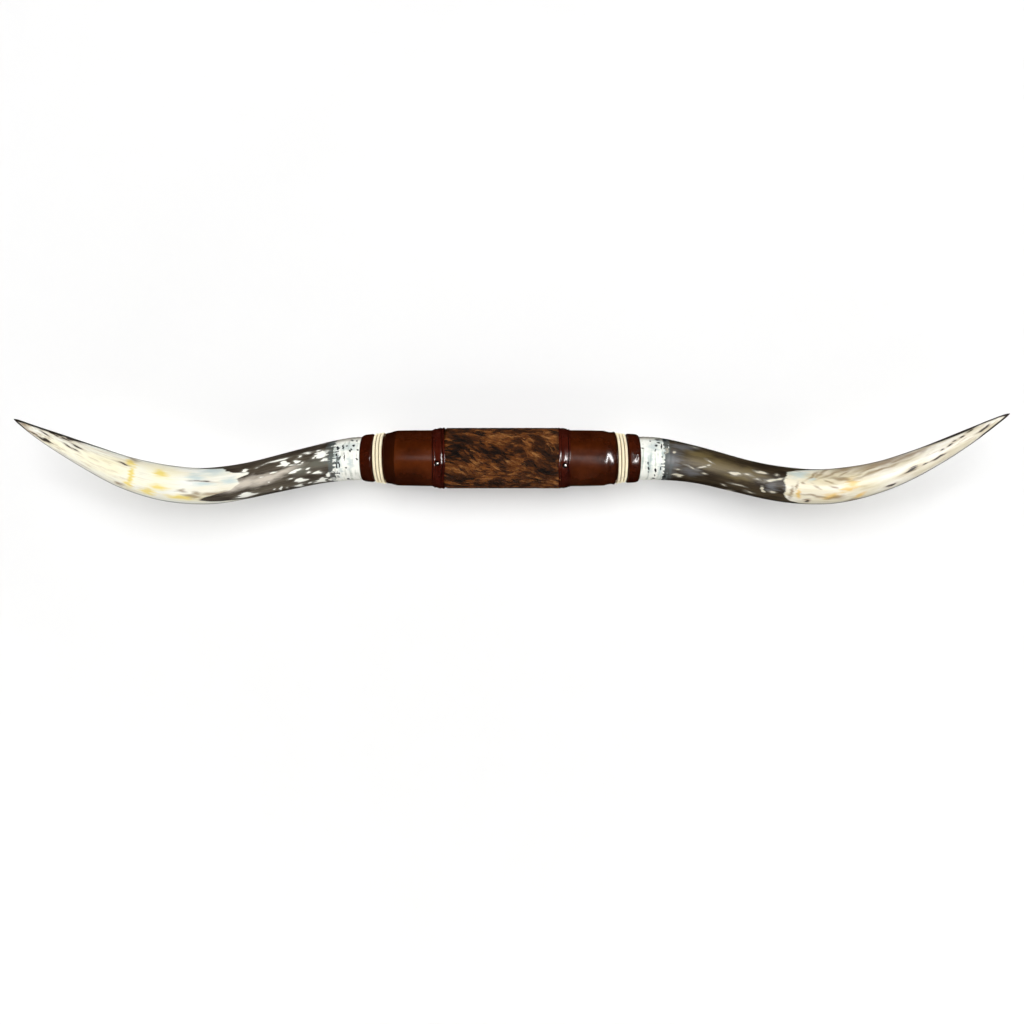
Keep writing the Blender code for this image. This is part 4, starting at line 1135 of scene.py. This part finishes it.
# Tacks: bronzed steel domes with a thin rim, the bronzing rubbed through to bright steel on the crown, a
# bright patch that also gives the painted highlight dot
tackMetal, shader = startMaterial("bronzed steel, lacquered")
coords = addNode(tackMetal, "TexCoord").outputs["Object"]
wear = addNode(tackMetal, "TexNoise", {"Vector": coords, "Scale": 1 / 0.002, "Detail": 4})
bronzed = addNode(tackMetal, "ValToRGB", {"Fac": wear}, stops=[(0.35, "#180C08"), (0.7, "#34201A")])
crownHighlight = addNode(tackMetal, "Attribute", attribute_name="crownHighlight").outputs["Fac"]
colour = addNode(tackMetal, "Mix", {"Factor": crownHighlight, "A": bronzed, "B": "#FFFAF2"}, data_type="RGBA")
plug(tackMetal, shader, {"Base Color": colour, "Metallic": 0.9, "Roughness": 0.22})
# mm that the dome rises at each step, and the share of its width that is left
domeSteps = [(0.3, 1.02), (0.35, 0.93), (0.75, 0.93), (0.8, 0.85), (0.6, 0.72), (0.3, 0.5), (0.1, 0.4)]
for name in sideOf:
    low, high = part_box(f"tack_{name}")
    middle = (low + high) / 2
    outward = Vector((0, middle.y - axisY, middle.z)).normalized()
    onAxis = Vector((middle.x, axisY, 0))
    seat = onAxis + outward * ((middle - onAxis).length - 1.7 * mm)
    turn = outward.to_track_quat("Z", "Y").to_euler()
    tack = startRing(f"dome_tack_{name}", 32, 4.9 * mm, seat, turn, "NGON")
    for rise, share in domeSteps:
        drawTo(outward * rise * mm, (share, share, share))
    closeRings(tack, 2)
    points = readPoints(tack) - np.array(middle)
    axis = np.array(outward)
    fromAxis = np.linalg.norm(points - (points @ axis)[:, None] * axis, axis=1) / mm
    # bright crown: worn steel that gives the painted highlight dot
    addField(tack, "crownHighlight", np.clip((2.5 - fromAxis) / 0.8, 0, 1))
    setMaterial(tack, tackMetal)
    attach(tack, "root")
    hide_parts(f"tack_{name}")
say("tacks set")

# Back board, hanger and screws keep their solids
wood, shader = startMaterial("pine, dark stained")
coords = addNode(wood, "TexCoord").outputs["Object"]
planks = addNode(
    wood, "Mapping", {"Vector": coords, "Scale": (0.06, 1.0, 1.0), "Rotation": (0.1, 0.03, 0.02)}
)
growth = addNode(
    wood, "TexWave",
    {"Vector": planks, "Scale": 1 / 0.013, "Distortion": 5, "Detail": 3, "Detail Scale": 1.5},
    bands_direction="Z",
)
pores = addNode(wood, "TexNoise", {"Vector": planks, "Scale": 1 / 0.0016, "Detail": 4})
blend = addNode(wood, "Mix", {"Factor": 0.4, "A": growth.outputs["Fac"], "B": pores}, data_type="FLOAT")
colour = addNode(
    wood, "ValToRGB", {"Fac": blend}, stops=[(0.2, "#2B190E"), (0.5, "#4A2C18"), (0.8, "#6B4427")]
)
bump = addNode(wood, "Bump", {"Strength": 0.35, "Distance": 0.0004, "Height": blend})
plug(wood, shader, {"Base Color": colour, "Roughness": 0.55, "Normal": bump})
setMaterial(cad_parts["back_board"], wood)

zinc, shader = startMaterial("steel, zinc plated")
coords = addNode(zinc, "TexCoord").outputs["Object"]
bloom = addNode(zinc, "TexNoise", {"Vector": coords, "Scale": 1 / 0.003, "Detail": 5})
colour = addNode(zinc, "ValToRGB", {"Fac": bloom}, stops=[(0.3, "#A9A698"), (0.7, "#CFCDC2")])
rough = addNode(zinc, "MapRange", {"Value": bloom, "To Min": 0.25, "To Max": 0.45})
plug(zinc, shader, {"Base Color": colour, "Metallic": 1.0, "Roughness": rough})
for node in ("hanger", "screw_left", "screw_right"):
    setMaterial(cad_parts[node], zinc)
say("board and fittings finished")

# Stage: a white wall that the mount hangs on, and a pale floor well below it
stage = {"wallSize": 9.0, "floorWidth": 5.0, "floorDepth": 2.2, "floor": -1.7, "gap": 0.001}
plaster, shader = startMaterial("matt white wall")
backface = addNode(plaster, "NewGeometry").outputs["Backfacing"]  # clear from behind, to show the back
clear = addNode(plaster, "BsdfTransparent")
faces = addNode(plaster, "MixShader", {0: backface, 1: shader.outputs["BSDF"], 2: clear})
output = plaster.node_tree.nodes["Material Output"]
plug(plaster, output, {"Surface": faces})
plug(plaster, shader, {"Base Color": "#E7E7E7", "Roughness": 0.9})
bpy.ops.mesh.primitive_plane_add(
    size=stage["wallSize"], location=(0, stage["gap"], stage["wallSize"] / 2 + stage["floor"]),
    rotation=(math.pi / 2, 0, 0),
)
wall = bpy.context.object
wall.name = "stage_wall"
setMaterial(wall, plaster)
wall.visible_glossy = False
paleFloor, shader = startMaterial("matt pale floor")
plug(paleFloor, shader, {"Base Color": "#D2D1CE", "Roughness": 0.9})
bpy.ops.mesh.primitive_plane_add(size=1, location=(0, -stage["floorDepth"] / 2, stage["floor"]))
floor = bpy.context.object
floor.scale = (stage["floorWidth"], stage["floorDepth"], 1)
floor.name = "stage_floor"
setMaterial(floor, paleFloor)
floor.visible_glossy = False

# Lights: a soft key above the camera casts the only shadow, outwards at the tips. Four fills aimed
# well past the picture even out the wall and the dim light behind reaches the back, all without
# shadows. A tall box to the right and a soft panel in front show only in the gloss
lights = {
    "key_above": {
        "place": (0.0, -2.4, 0.85), "aim": (0.0, 0.0, 0.0), "size": (0.72, 1.5), "power": 47.0,
        "shadow": True,
    },
}
for level, height, aimOut, aimUp, power in (("top", 1.67, 5.1, 4.1, 134), ("low", -1.0, 5.6, -4.5, 172)):
    for name, side in sideOf.items():
        lights[f"fill_{level}_{name}"] = {
            "place": (side * 1.5, -3.65, height), "aim": (side * aimOut, 0.0, aimUp), "size": (1.5, 1.5),
            "power": power,
        }
lights.update({
    "back_fill": {"place": (0.0, 7.0, 0.8), "aim": (0.0, 0.0, 0.0), "size": (3.5, 3.0), "power": 150},
    "side_box": {
        "place": (1.15, -1.75, 0.0), "aim": (0.0, -0.1, 0.0), "size": (0.25, 1.3), "power": 56,
        "gloss": True,
    },
    "front_panel": {
        "place": (0.0, -2.6, 0.03), "aim": (0.0, -0.1, 0.0), "size": (1.2, 0.7), "power": 3.2,
        "gloss": True,
    },
})
for name, settings in lights.items():
    data = bpy.data.lights.new(name, "AREA")
    data.shape = "RECTANGLE"
    data.size, data.size_y = settings["size"]
    data.energy = settings["power"]
    data.use_shadow = "shadow" in settings or "gloss" in settings
    lamp = addObject(name, data)
    lamp.location = settings["place"]
    direction = Vector(settings["aim"]) - Vector(settings["place"])
    lamp.rotation_euler = direction.to_track_quat("-Z", "Z").to_euler()
    lamp.visible_glossy = "gloss" in settings
    lamp.visible_diffuse = not lamp.visible_glossy
    lamp.visible_camera = False
world = bpy.data.worlds.new("studio air")
bpy.context.scene.world = world
world.use_nodes = True
world.node_tree.nodes["Background"].inputs["Color"].default_value = toLinear("#F6F7FA")
world.node_tree.nodes["Background"].inputs["Strength"].default_value = 0.90
world.cycles_visibility.glossy = False
world.cycles_visibility.diffuse = False
bpy.context.scene.view_settings.view_transform = "Standard"
say("stage lit")
